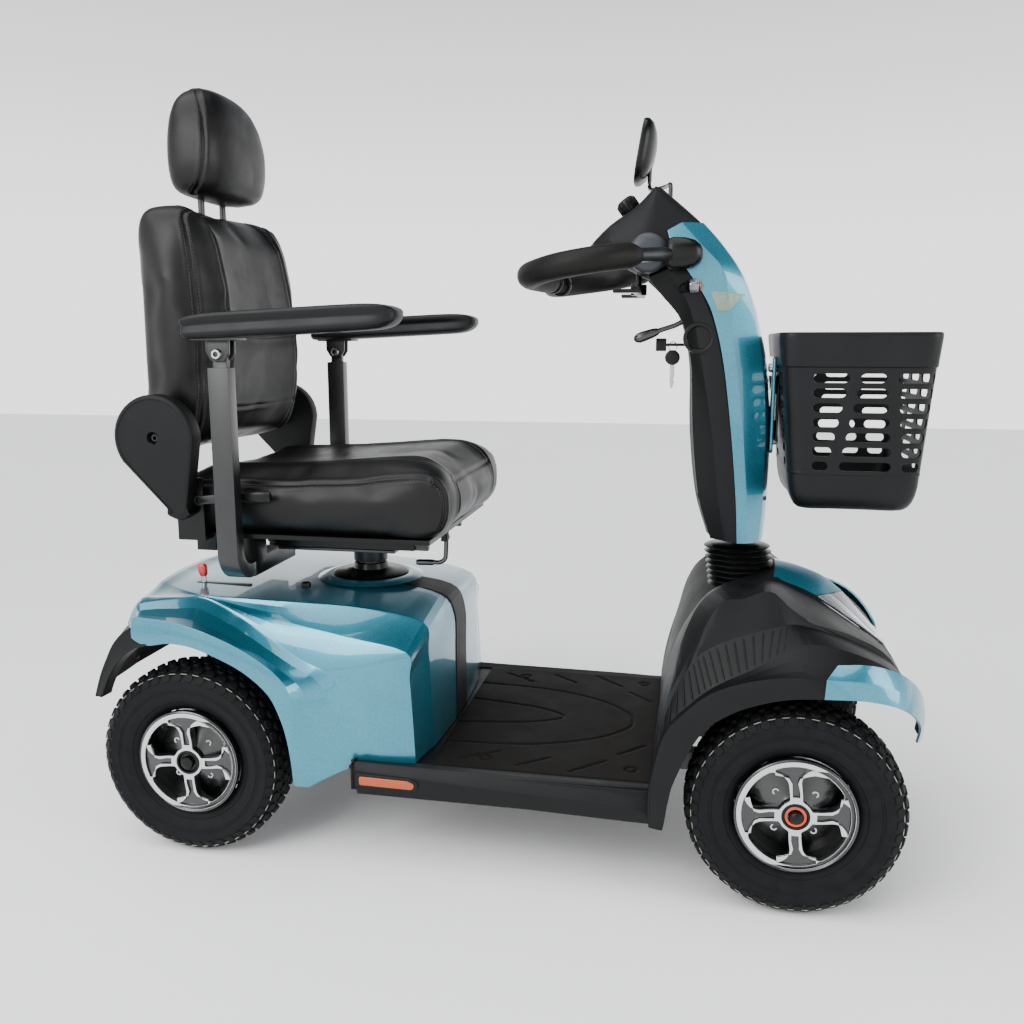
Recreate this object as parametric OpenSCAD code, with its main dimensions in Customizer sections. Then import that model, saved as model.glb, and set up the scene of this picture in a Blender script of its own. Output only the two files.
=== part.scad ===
// Four-wheel mobility scooter with a swivelling captain seat.
// X points to the front, Y to the rider's left and Z up. The origin is on the floor, halfway
// between the axles. Chassis sizes are taken from an axle, the tiller's from the steering axis
// and the seat's from its post, so each group keeps its shape when the wheelbase changes.

/* [Running gear] */
// Distance between the front and rear axles
wheelbase = 1014; // [900:2:1250]
// Distance between the tyre centre lines
track = 490; // [440:2:600]
// Outer radius of a tyre
tyre_r = 170; // [140:1:205]
// Half width of a tyre
tyre_hw = 50; // [40:1:60]
// Radius of the rim where the tyre seats
rim_r = 84; // [70:1:105]
// Radius of the wheel axles
axle_r = 10; // [8:0.5:12]
// Radius of the kingpins
kingpin_r = 8; // [6:0.5:10]
// Length of the steering arms
steer_arm = 85; // [70:1:95]

/* [Body panels] */
// Distance from an axle to the end of the bodywork
overhang = 203; // [190:1:260]
// Wall of the moulded panels
wall = 4; // [3:0.5:5]
// Gap between a tyre and its arch
arch_gap = 22; // [12:1:34]
// Width of the black arch trim
arch_trim = 14; // [8:1:18]

/* [Seat] */
// Height of the top of the seat pan
pan_z = 560; // [520:1:680]
// Radius of the seat post
post_r = 25; // [20:0.5:30]
// Half width of the seat cushion
cushion_hw = 230; // [190:1:276]
// Side of the square bar that carries an armrest
arm_bar = 24; // [20:1:28]
// Radius of the headrest stalks
stalk_r = 6; // [5:0.25:8]

/* [Tiller] */
// Radius of the steering shaft
shaft_r = 12; // [10:0.5:14]
// Half width of the tiller covers
tiller_hw = 75; // [62:1:90]
// Radius of the hand grips
grip_r = 20; // [16:0.5:24]
// Radius of the steel handlebar
bar_r = 11; // [9:0.5:13]
// Half width of the basket at its rim
basket_hw = 150; // [125:1:180]

/* [Clearances] */
// Radial gap of a shaft that turns in a bore
run_gap = 0.05; // [0.02:0.01:0.1]
// Gap between flat faces that slide or turn
slide_gap = 0.4; // [0.2:0.1:0.8]

/* [Hidden] */
$fn = 64;
front_x = wheelbase / 2;
rear_x = -wheelbase / 2;
half_w = track / 2 + 61;
axle_z = 170;
lift = tyre_r - axle_z;
steer_x = -77;
seat_x = 239;
wheel_y = track / 2;
kingpin_y = wheel_y - 70;
spindle_end = wheel_y + 17;
rail_y = kingpin_y - 100;
rail_hw = 15;
rail_z0 = 140;
rail_z1 = 172;
deck_z = 183;
deck_hw = half_w - 44;
skirt_hw = half_w - 29;
deck_rear = seat_x + 59;
deck_front = -211;
well_r = tyre_r + arch_gap;
tube_wall = 2.5;
post_top = pan_z - 42;
far = 1000;

// ---- small helpers ----
function inset(p, d) = [for (i = [0:len(p) - 1]) let(
    a = p[(i + len(p) - 1) % len(p)], b = p[i], c = p[(i + 1) % len(p)],
    e = (b - a) / norm(b - a), f = (c - b) / norm(c - b),
    n = [-e[1], e[0]], m = [-f[1], f[0]]) b + (n + m) * d / (1 + n * m)];

module slab_y(p, y0, y1) translate([0, y1, 0]) rotate([90, 0, 0]) linear_extrude(y1 - y0) polygon(p);
module slab_x(p, x0, x1) translate([x0, 0, 0]) rotate([90, 0, 90]) linear_extrude(x1 - x0) polygon(p);
module slab_z(p, z0, z1) translate([0, 0, z0]) linear_extrude(z1 - z0) polygon(p);
module box(x0, x1, y0, y1, z0, z1) translate([x0, y0, z0]) cube([x1 - x0, y1 - y0, z1 - z0]);
module cyl_y(x, z, r, y0, y1) translate([x, y0, z]) rotate([-90, 0, 0]) cylinder(h = y1 - y0, r = r);
module cyl_z(x, y, r, z0, z1) translate([x, y, z0]) cylinder(h = z1 - z0, r = r);
module both_sides() {
    children();
    mirror([0, 1, 0]) children();
}
module rod(p, q, r) {
    d = q - p;
    translate(p) rotate([0, acos(d[2] / norm(d)), atan2(d[1], d[0])]) cylinder(h = norm(d), r = r);
}
// A smooth curve through chosen points, and a tube swept along it
function spline(p, n) = [for (i = [0:len(p) - 2], k = [0:n - 1]) let(
    a = p[max(i - 1, 0)], b = p[i], c = p[i + 1], d = p[min(i + 2, len(p) - 1)], t = k / n)
    0.5 * (2 * b + (c - a) * t + (2 * a - 5 * b + 4 * c - d) * t * t + (3 * b - a - 3 * c + d)
        * t * t * t)];
function curve(p, n) = concat(spline(p, n), [p[len(p) - 1]]);
function unit(v) = v / norm(v);
function ring(c, t, r, n) = let(u = unit(cross(t, abs(t[2]) < 0.9 ? [0, 0, 1] : [1, 0, 0])),
    v = cross(t, u))
    [for (k = [0:n - 1]) c + r * (cos(360 * k / n) * u + sin(360 * k / n) * v)];
function rings(p, r, n, first = 0) = [for (i = [first:len(p) - 1]) each
    ring(p[i], unit(p[min(i + 1, len(p) - 1)] - p[max(i - 1, 0)]), r, n)];
function side_faces(m, n, first, flip) = [for (i = [0:m - 2], k = [0:n - 1]) each let(
    a = first + i * n + k, b = first + i * n + (k + 1) % n, c = a + n, d = b + n)
    flip ? [[a, c, d], [a, d, b]] : [[a, d, c], [a, b, d]]];
module sweep(p, r, n = 10) {
    m = len(p);
    polyhedron(rings(p, r, n), concat(side_faces(m, n, 0, true),
        [[for (k = [0:n - 1]) k], [for (k = [n - 1:-1:0]) (m - 1) * n + k]]));
}
module sweep_sleeve(p, first, r, inner, n = 10) {
    m = len(p) - first;
    e = m * n;
    polyhedron(concat(rings(p, r, n, first), rings(p, inner, n, first)), concat(
        side_faces(m, n, 0, true), side_faces(m, n, e, false),
        [for (k = [0:n - 1]) each let(j = (k + 1) % n, l = (m - 1) * n) [[k, e + j, e + k], [k, j,
            e + j],
            [l + k, e + l + j, l + j], [l + k, e + l + k, e + l + j]]]));
}
module rounded(w, h, r) {
    square([w, h - 2 * r], center = true);
    square([w - 2 * r, h], center = true);
    for (x = [-1, 1], y = [-1, 1]) translate([x * (w / 2 - r), y * (h / 2 - r)]) circle(r = r);
}
function mirrored(p) = concat(p, [for (i = [len(p) - 1:-1:0]) [-p[i][0], p[i][1]]]);
function mirrored_y(p) = concat(p, [for (i = [len(p) - 1:-1:0]) [p[i][0], -p[i][1]]]);

module at_rear() translate([rear_x, 0, lift]) children();
module at_front() translate([front_x, 0, lift]) children();
module at_steer() translate([front_x + steer_x, 0, lift]) children();
module at_post() translate([rear_x + seat_x, 0, lift]) children();
// the seat's own heights are counted from the top of its pan
module at_seat() translate([rear_x + seat_x, 0, lift + pan_z]) children();

// ---- wheels: local +Y is outwards, origin at the wheel's centre ----
module wheel_frame(x, side) translate([x, 0, tyre_r]) scale_side(side) translate([0, wheel_y, 0])
    children();
module scale_side(side) if (side > 0) children(); else mirror([0, 1, 0]) children();
module turned_y() rotate([-90, 0, 0]) rotate_extrude($fn = 96) children();

bead_hw = tyre_hw - 8;
tyre_wall = 8;
module tyre() color("#1c1d1f") turned_y() polygon([
    [rim_r, -bead_hw], [rim_r + 8, -bead_hw], [rim_r + 18, -tyre_hw + 3], [tyre_r - 40, -tyre_hw],
    [tyre_r - 16, -tyre_hw + 3], [tyre_r - 8, -tyre_hw + 8], [tyre_r - 2, -tyre_hw + 22], [tyre_r, -12],
    [tyre_r, 12], [tyre_r - 2, tyre_hw - 22], [tyre_r - 8, tyre_hw - 8], [tyre_r - 16, tyre_hw - 3],
    [tyre_r - 40, tyre_hw], [rim_r + 18, tyre_hw - 3], [rim_r + 8, bead_hw], [rim_r, bead_hw],
    [rim_r, bead_hw - tyre_wall], [rim_r + 20, tyre_hw - 3 - tyre_wall],
    [tyre_r - 40, tyre_hw - tyre_wall], [tyre_r - 20, tyre_hw - 8 - tyre_wall],
    [tyre_r - 12, 10], [tyre_r - 12, -10], [tyre_r - 20, -tyre_hw + 8 + tyre_wall],
    [tyre_r - 40, -tyre_hw + tyre_wall], [rim_r + 20, -tyre_hw + 3 + tyre_wall],
    [rim_r, -bead_hw + tyre_wall]]);

hub_r = 24;
disc_y0 = 10;
disc_y1 = 20;
hub_y0 = -18;
hub_y1 = 30;
bolt_ring_r = 33;
window_r = 14;
module rim() color("#b9bcc0") difference() {
    union() {
        turned_y() polygon([[rim_r - 8, -bead_hw], [rim_r, -bead_hw], [rim_r, bead_hw], [rim_r + 6,
            bead_hw],
            [rim_r + 6, bead_hw + 3], [rim_r - 4, bead_hw + 3], [rim_r - 8, bead_hw - 4]]);
        cyl_y(0, 0, rim_r - 7, disc_y0, disc_y1);
        cyl_y(0, 0, hub_r, hub_y0, hub_y1);
    }
    cyl_y(0, 0, axle_r + run_gap, hub_y0 - 1, hub_y1 + 1);
    for (a = [0:60:300]) rotate([0, a, 0]) cyl_y((rim_r - 8 + bolt_ring_r + 6) / 2, 0, window_r,
        disc_y0 - 1, disc_y1 + 1);
}
module hub_hardware() color("#3a3b3d") {
    cyl_y(0, 0, hub_r - 2, hub_y1, hub_y1 + 12);
    for (a = [30:90:300]) rotate([0, a, 0]) cyl_y(bolt_ring_r, 0, 6, disc_y1, disc_y1 + 8);
}

// ---- chassis ----
module square_tube(x0, x1, y, z0, z1) difference() {
    box(x0, x1, y - rail_hw, y + rail_hw, z0, z1);
    box(x0 - 1, x1 + 1, y - rail_hw + tube_wall, y + rail_hw - tube_wall, z0 + tube_wall, z1 -
        tube_wall);
}
beam_hw = 15;
axle_tube_r = 28;
saddle_z = 232;
rail_rear = 37;
upright_x = 67;
head_tube_z0 = 255;
head_tube_z1 = 430;
rail_front = wheelbase - beam_hw;
freewheel_x = -45;
freewheel_y = 120;
freewheel_z = 247;
module main_frame() color("#26282b") {
    at_rear() difference() {
        union() {
            both_sides() {
                square_tube(rail_rear, rail_front, rail_y, rail_z0, rail_z1);
                box(rail_rear, upright_x, rail_y - rail_hw, rail_y + rail_hw, rail_z1, saddle_z);
                box(freewheel_x - 22, upright_x, rail_y - rail_hw, rail_y + rail_hw, saddle_z,
                    saddle_z + 30);
                box(-20, 20, rail_y - rail_hw, rail_y + rail_hw, axle_z + axle_tube_r - 8, saddle_z);
                box(seat_x - 62, seat_x + 58, 0, wheel_y - 45, deck_z - 3, deck_z);
                box(seat_x - 62, seat_x - 50, rail_y + rail_hw, wheel_y - 45, rail_z1 - 6, deck_z - 3);
            }
            box(seat_x - 34, seat_x + 34, -rail_y + rail_hw, rail_y - rail_hw, rail_z0, rail_z1);
            box(seat_x - 62, seat_x + 58, -rail_y - rail_hw, rail_y + rail_hw, rail_z1, deck_z - 3);
            cyl_z(seat_x, 0, post_r + 6, rail_z1, 400);
            box(rail_rear + 18, rail_rear + 48, -rail_y + rail_hw, rail_y - rail_hw, rail_z0, rail_z1);
        }
        cyl_y(0, axle_z, axle_tube_r, -far, far);
        cyl_z(seat_x, 0, post_r, rail_z1, 401);
    }
    // stands that carry the rear shroud, cut to the underside of its skin
    at_rear() intersection() {
        both_sides() for (x = [freewheel_x - 12, upright_x - 12]) cyl_z(x, rail_y, 9, saddle_z + 30,
            600);
        shroud_form(wall);
    }
    at_rear() cyl_y(freewheel_x, freewheel_z, 4, -freewheel_y - 8, -rail_y - rail_hw);
    at_front() difference() {
        union() {
            box(-beam_hw, beam_hw, -kingpin_y + 12, kingpin_y - 12, 150, 190);
            both_sides() cyl_z(0, kingpin_y, kingpin_r + 7, 145, 195);
            box(-beam_hw, beam_hw, -15, 15, 190, 420);
            box(steer_x + 10, -beam_hw, -6, 6, 262, 420);
            cyl_z(steer_x, 0, shaft_r + 8, head_tube_z0, head_tube_z1);
        }
        both_sides() cyl_z(0, kingpin_y, kingpin_r + run_gap, 100, 300);
        cyl_z(steer_x, 0, shaft_r + run_gap, 200, 500);
    }
}

motor_x = -112;
motor_z = 205;
module transaxle() color("#54575b") at_rear() {
    both_sides() {
        cyl_y(0, axle_z, axle_tube_r, 0, wheel_y - 55);
        cyl_y(0, axle_z, axle_r, wheel_y - 55, spindle_end);
    }
    difference() {
        union() {
            cyl_y(0, axle_z, 52, -30, 30);
            slab_y([[motor_x - 30, motor_z - 30], [0, axle_z - 30], [0, axle_z + 48], [motor_x - 10,
                motor_z + 38]], -30, 0);
        }
        cyl_y(0, axle_z, 20, -31, 31);
    }
    cyl_y(motor_x, motor_z, 44, 0, 150);
}

battery = [198, 162, 170];
module batteries() color("#2f3236") at_rear() both_sides()
    box(seat_x - 62, seat_x - 62 + battery[0], post_r + 8, post_r + 8 + battery[1], deck_z, deck_z +
        battery[2]);

// Outer form of the rear shroud; inset shrinks it evenly to give the inner face.
shroud_side = [[-overhang + 20, 330], [40, 330], [40, 120], [298, 120], [298, deck_z], [416, deck_z],
    [416, 385],
    [407, 402], [seat_x + 1, 440], [-83, 445], [-143, 420], [-overhang + 26, 365]];
module shroud_form(d) intersection() {
    slab_y(d == 0 ? shroud_side : [[-overhang + 20 + d, 100], [416 - d, 100], [416 - d, 385 - d],
        [407 - d, 402 - d],
        [seat_x + 1, 440 - d], [-83, 445 - d], [-143 + d, 420 - d], [-overhang + 26 + d, 365 - d]],
            -far, far);
    slab_z(mirrored_y([[-overhang + 20 + d, 190 - d], [-overhang + 70, half_w - 40 - d], [-90,
        half_w - 6 - d],
        [190, half_w - 6 - d], [298, half_w - 31 - d], [398, half_w - 56 - d], [416 - d, half_w -
            71 - d]]), 0, far);
    slab_x(mirrored([[half_w - d, 80], [half_w - d, 375 - d], [half_w - 121 - d / 2, 450 - d], [0,
        450 - d]]), -far, far);
}
strip_hw = 38;
module strip_zone() union() {
    box(seat_x + 40, far, -strip_hw, strip_hw, 0, far);
}
module rear_shroud() color("#2f8fa3") at_rear() difference() {
    shroud_form(0);
    shroud_form(wall);
    both_sides() cyl_y(0, tyre_r - lift, well_r + arch_trim, wheel_y - 57, far);
    cyl_z(seat_x, 0, post_r + 2, 300, far);
    box(freewheel_x - 13, freewheel_x + 95, -freewheel_y - 6, -freewheel_y + 6, 400, far);
    strip_zone();
}
module shroud_strip() color("#1b1c1e") at_rear() difference() {
    intersection() {
        shroud_form(0);
        strip_zone();
    }
    shroud_form(wall);
}
bumper_z0 = 262;
lamp_y = 110;
module bumper_form(d) intersection() {
    box(-overhang + d, -20, -far, far, d == 0 ? bumper_z0 : 100, 330);
    slab_z(mirrored_y([[-overhang + d, 150 - d], [-overhang + 18 + d / 2, 236 - d], [-150, half_w -
        8 - d], [far, half_w - 8 - d]]), 0, far);
}
module rear_bumper() color("#222325") at_rear() difference() {
    union() {
        difference() {
            bumper_form(0);
            bumper_form(wall + 2);
            box(-overhang + 73, far, -far, far, 0, far);
        }
        both_sides() intersection() {
            cyl_y(0, axle_z, well_r + arch_trim, wheel_y + 17, half_w);
            slab_y([[0, axle_z], [150, 440], [-far, 440], [-far, bumper_z0], [-100, bumper_z0]], 0, far);
        }
    }
    both_sides() {
        cyl_y(0, tyre_r - lift, well_r, wheel_y - 57, far);
        box(-overhang - 1, -overhang + wall + 3, lamp_y, lamp_y + 40, 285, 312);
    }
}
module tail_lights() color("#b3191b") at_rear() both_sides()
    box(-overhang, -overhang + wall + 2, lamp_y, lamp_y + 40, 285, 312);

spigot_r = post_r - 7;
module seat_post() color("#2b2d30") difference() {
    union() {
        at_post() cyl_z(0, 0, post_r, rail_z1, post_top - 42);
        at_post() cyl_z(0, 0, spigot_r, post_top - 42, post_top - 0.5);
        at_post() cyl_z(0, 0, post_r + 33, 425, 452);
    }
    at_rear() intersection() {
        shroud_form(0);
        difference() {
            box(-far, far, -far, far, 0, far);
            cyl_z(seat_x, 0, post_r, 0, far);
        }
    }
}

mat_rise = 1.5;
mat_gap = 10;
mat_front = wheelbase + deck_front - mat_gap;
module footboard() color("#1f2022") {
    at_rear() difference() {
        union() {
            box(deck_rear, wheelbase + deck_front, -deck_hw, deck_hw, rail_z1, deck_z);
            // raised mat that the feet rest on, clear of the shroud and the cowl
            box(416 + mat_gap, mat_front, -deck_hw + mat_gap, deck_hw - mat_gap, deck_z, deck_z +
                mat_rise);
            both_sides() slab_y([[deck_rear, 145], [wheelbase / 2 + 140, 134], [wheelbase +
                deck_front, 128],
                [wheelbase + deck_front, deck_z], [deck_rear, deck_z]], deck_hw, skirt_hw);
        }
        // shallow underside pockets
        both_sides() box(deck_rear + 12, wheelbase + deck_front - 12, rail_y + rail_hw + 8, deck_hw -
            8, rail_z1 - 1, rail_z1 + 7);
    }
}
module side_reflectors() color("#d9772a") at_rear() both_sides()
    slab_y([[deck_rear + 4, 151], [deck_rear + 111, 155], [deck_rear + 111, 172], [deck_rear + 4,
        168]], skirt_hw, skirt_hw + 5);

// ---- front cowl ----
cowl_side = [[deck_front, 128], [deck_front + 6, 128], [deck_front + 60, bumper_z0], [overhang,
    bumper_z0],
    [overhang, 300], [197, 324], [162, 366], [124, 410], [86, 453], [56, 479], [-7, 496], [-70, 470],
        [-127, 442],
    [-173, 389], [-199, 330], [deck_front, 285]];
module cowl_form(d) intersection() {
    slab_y(d == 0 ? cowl_side : [[deck_front + d, 80], [overhang - d, 80], [overhang - d, 300 - d],
        [197 - d, 324 - d], [162 - d, 366 - d], [124 - d, 410 - d], [86 - d, 453 - d], [56 - d / 2,
            479 - d],
        [-7, 496 - d], [-70, 470 - d], [-127 + d / 2, 442 - d], [-173 + d, 389 - d / 2], [-199 + d,
            330], [deck_front + d, 285]],
        -far, far);
    slab_z(mirrored_y([[deck_front + d, skirt_hw - d], [deck_front + 34, half_w - d], [93, half_w - d],
        [153, half_w - 21 - d], [187 - d / 2, half_w - 71 - d], [overhang - d, half_w - 156 - d]]),
            0, far);
    slab_x(mirrored([[half_w - d, 60], [half_w - d, 375 - d], [half_w - 6 - d, 385 - d], [half_w -
        106 - d / 2, 410 - d],
        [half_w - 176 - d / 2, 440 - d], [70 - d / 2, 497 - d], [0, 497 - d]]), -far, far);
}
gaiter_r = 63;
cap_zone = [[-77, -64], [86, -52], [86, 52], [-77, 64]];
lens_zone = [[86, -52], [164, -40], [164, 40], [86, 52]];
tip_x = 62;
tip_y = half_w - 126;
module front_zones() {
    slab_z(cap_zone, 380, far);
    slab_z(lens_zone, 340, far);
    both_sides() tip_zone();
}
module tip_zone() slab_z([[tip_x, far], [tip_x + 50, tip_y], [far, tip_y], [far, far]], 0, far);
module cowl_openings() {
    both_sides() {
        cyl_y(0, tyre_r - lift, well_r + 4, wheel_y + 9, far);
        box(0, far, half_w - 66, far, 0, axle_z + well_r + 4);
    }
    box(-far, far, -deck_hw, deck_hw, 0, rail_z1);
    cyl_z(steer_x, 0, gaiter_r + 3, 452, far);
}
module front_cowl() color("#202224") at_front() {
    difference() {
        cowl_form(0);
        cowl_form(wall);
        cowl_openings();
        front_zones();
    }
    difference() {
        intersection() {
            cowl_form(0);
            cyl_z(steer_x, 0, gaiter_r + 7, 448, far);
        }
        cyl_z(steer_x, 0, gaiter_r + 3, 452, far);
        cyl_z(steer_x, 0, shaft_r + 10, 440, far);
        slab_z(cap_zone, 380, far);
    }
}
module cowl_panels() color("#2f8fa3") at_front() difference() {
    intersection() {
        cowl_form(0);
        union() {
            slab_z(cap_zone, 380, far);
            both_sides() tip_zone();
        }
    }
    cowl_form(wall);
    cowl_openings();
}
module headlight() color("#dfe6ea") at_front() difference() {
    intersection() {
        cowl_form(0);
        slab_z(lens_zone, 340, far);
    }
    cowl_form(wall);
}

module freewheel_lever() at_rear() {
    color("#8a8d91") difference() {
        union() {
            cyl_y(freewheel_x, freewheel_z, 10, -freewheel_y - 4, -freewheel_y + 4);
            box(freewheel_x - 5, freewheel_x + 5, -freewheel_y - 4, -freewheel_y + 4, freewheel_z, 462);
        }
        cyl_y(freewheel_x, freewheel_z, 4 + run_gap, -far, far);
    }
    color("#c8322c") box(freewheel_x - 9, freewheel_x + 9, -freewheel_y - 7, -freewheel_y + 7, 462, 482);
}

// ---- steering gear ----
pitman_z0 = 223;
arm_z0 = 197;
rod_z0 = 209;
link_pin_r = 5;
module knuckle() difference() {
    union() {
        both_ends() box(-15, 15, kingpin_y - 15, kingpin_y + 25, arm_z0, arm_z0 + 10);
        box(-15, 15, kingpin_y + 17, kingpin_y + 25, 133, arm_z0 + 10);
        cyl_z(0, kingpin_y, kingpin_r, 133, arm_z0 + 10);
        cyl_y(0, axle_z, axle_r, kingpin_y + 25, spindle_end);
        box(-steer_arm, 0, kingpin_y - 9, kingpin_y + 9, arm_z0, arm_z0 + 10);
        cyl_z(-steer_arm, kingpin_y, 9, arm_z0, arm_z0 + 10);
    }
    cyl_z(-steer_arm, kingpin_y, link_pin_r + 0.5, 0, 300);
}
module both_ends() {
    children();
    translate([0, 0, 133 - arm_z0]) children();
}
module knuckle_left() color("#3c3f43") at_front() knuckle();
module knuckle_right() color("#3c3f43") at_front() mirror([0, 1, 0]) knuckle();
module track_rod() color("#6b6f74") at_front() {
    box(-steer_arm - 8, -steer_arm + 8, -kingpin_y, kingpin_y, rod_z0, rod_z0 + 12);
    both_sides() {
        cyl_z(-steer_arm, kingpin_y, 9, rod_z0, rod_z0 + 12);
        cyl_z(-steer_arm, kingpin_y, link_pin_r, arm_z0, rod_z0);
    }
    box(steer_x - steer_arm, -steer_arm, -10, 10, rod_z0, rod_z0 + 12);
    cyl_z(steer_x - steer_arm, 0, 10, rod_z0, rod_z0 + 12);
    cyl_z(steer_x - steer_arm, 0, link_pin_r, rod_z0 + 12, pitman_z0 + 10);
}
tilt_x = -6;
tilt_z = 500;
tilt_pin_r = 6;
module steering_shaft() color("#4a4d51") at_steer() {
    difference() {
        union() {
            cyl_z(0, 0, shaft_r, pitman_z0, 475);
            box(-steer_arm, 0, -12, 12, pitman_z0, pitman_z0 + 10);
            cyl_z(-steer_arm, 0, 12, pitman_z0, pitman_z0 + 10);
            cyl_z(0, 0, shaft_r + 8, head_tube_z1 + slide_gap, head_tube_z1 + 10);
            box(-26, 16, -24, 24, 466, 475);
            both_sides() slab_y([[-26, 466], [16, 466], [8, 512], [-20, 512]], 16, 24);
        }
        cyl_z(-steer_arm, 0, link_pin_r + run_gap, 0, 300);
    }
    cyl_y(tilt_x, tilt_z, tilt_pin_r, -24, 24);
}
gaiter_ribs = 6;
gaiter_lean = 11;
module gaiter() color("#17181a") at_steer() intersection() {
    translate([0, 0, 444]) rotate([0, -gaiter_lean, 0]) rotate_extrude($fn = 64) polygon(concat(
        [for (i = [0:2 * gaiter_ribs]) [(i % 2 == 0 ? gaiter_r - 3 - i * 0.35 : gaiter_r - 12 -
            i * 0.35), i * 8.6]],
        [[46, 2 * gaiter_ribs * 8.6], [46, 0]]));
    box(-far, far, -far, far, 457, 545);
}

// ---- tiller: outlines in X and Z from the steering axis ----
// whole outer outline, then the seams that part the covers
rear_edge = [[-69, 548], [-91, 627], [-101, 701], [-105, 787], [-108, 850], [-108, 894], [-116, 915],
    [-129, 940], [-151, 965], [-183, 988]];
seam_edge = [[-140, 1000], [-73, 936], [-52, 847], [-35, 737], [-23, 625], [-20, 548]];
front_edge = [[30, 548], [34, 639], [33, 778], [26, 840], [15, 873], [3, 933], [-17, 986], [-42,
    1022], [-74, 1055]];
head_edge = [[-95, 1081], [-134, 1114], [-171, 1144], [-183, 1139], [-200, 1116], [-221, 1098],
    [-247, 1082],
    [-270, 1059], [-282, 1048], [-262, 1034], [-210, 1010]];
function reversed(p) = [for (i = [len(p) - 1:-1:0]) p[i]];
tiller_outline = concat(front_edge, head_edge, reversed(rear_edge));
module tiller_cavity() {
    tiller_form(wall);
    slab_y([[-64, 500], [26, 500], [26, 560], [-64, 560]], -tiller_hw + wall, tiller_hw - wall);
}
module tiller_form(d) slab_y(d == 0 ? tiller_outline : inset(tiller_outline, d), -tiller_hw + d,
    tiller_hw - d);
bar_x = -126;
bar_z = 1028;
boss_r = 19;
module tiller_rear_cover() color("#222426") at_steer() {
    difference() {
        slab_y(concat(seam_edge, rear_edge), -tiller_hw, tiller_hw);
        tiller_cavity();
        cyl_y(bar_x, bar_z, boss_r, -far, far);
        rod([-112, 0, key_z], [-95, 0, key_z], 4);
    }
    // clevis that carries the tilt release lever
    difference() {
        for (y = [lever_y - 13, lever_y + 9]) slab_y([[-104, 903], [-138, 911], [-138, 922], [-104,
            934]], y, y + 4);
        tiller_form(0);
    }
    cyl_y(lever_x, lever_z, 3, lever_y - 13, lever_y + 13);
    // barrel of the key switch
    difference() {
        rod([-116, 0, key_z], [-96, 0, key_z], 9);
        rod([-130, 0, key_z], [-90, 0, key_z], 2.5 + run_gap);
        difference() {
            tiller_form(0);
            rod([-112, 0, key_z], [-95, 0, key_z], 4);
        }
    }
}
module tiller_front_cover() color("#2f8fa3") at_steer() difference() {
    slab_y(concat(front_edge, [[-130, 1060]], seam_edge), -tiller_hw, tiller_hw);
    tiller_cavity();
    cyl_y(bar_x, bar_z, boss_r, -far, far);
}
module tiller_head() color("#242628") at_steer() difference() {
    slab_y(concat([[-74, 1055]], head_edge, [[-183, 988], [-140, 1000], [-130, 1060]]), -tiller_hw,
        tiller_hw);
    tiller_form(wall);
    cyl_y(bar_x, bar_z, boss_r, -far, far);
    rod(knob_seat - 12 * knob_axis, knob_seat + 12 * knob_axis, 3 + run_gap);
    cyl_z(throttle_x, 0, 5 + run_gap, 940, 1020);
    cyl_z(mirror_x, mirror_y, 4, 1000, 1300);
}
module tiller_column() color("#4a4d51") at_steer() {
    difference() {
        union() {
            cyl_y(tilt_x, tilt_z, 15, -15.6, 15.6);
            rod([tilt_x, 0, tilt_z], [-44, 0, 900], 15);
            rod([-38, 0, 892], [bar_x, 0, bar_z], 12);
            intersection() {
                for (z = [620, 820]) box(-far, far, -far, far, z, z + 6);
                tiller_form(wall);
            }
        }
        cyl_y(tilt_x, tilt_z, tilt_pin_r + run_gap, -far, far);
        cyl_y(bar_x, bar_z, bar_r, -far, far);
        box(-far, far, 15.6, far, 400, 540);
        box(-far, far, -far, -15.6, 400, 540);
    }
}
// Loop of the handlebar on one side, from the head round the hand to its inner end
bar_path = [[-142, tiller_hw + 22, 1026], [-175, 150, 1021], [-222, 205, 1014], [-268, 222, 1007],
    [-316, 208, 1000], [-356, 168, 993], [-366, 128, 991], [-354, 84, 989], [-340, 44, 988]];
bar_steps = 3;
bar_curve = curve(bar_path, bar_steps);
module handlebar() color("#2a2c2e") at_steer() {
    cyl_y(bar_x, bar_z, bar_r, -tiller_hw, tiller_hw);
    both_sides() {
        sweep(bar_curve, bar_r);
        cyl_y(bar_x, bar_z, boss_r, tiller_hw, tiller_hw + 34);
    }
}
module hand_grips() color("#18191b") at_steer() both_sides() sweep_sleeve(bar_curve, bar_steps,
    grip_r, bar_r);
lamp_x = -100;
module indicators() color("#e6a04a") at_steer() both_sides() cyl_y(lamp_x, 976, 11, tiller_hw,
    tiller_hw + 10);

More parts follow.
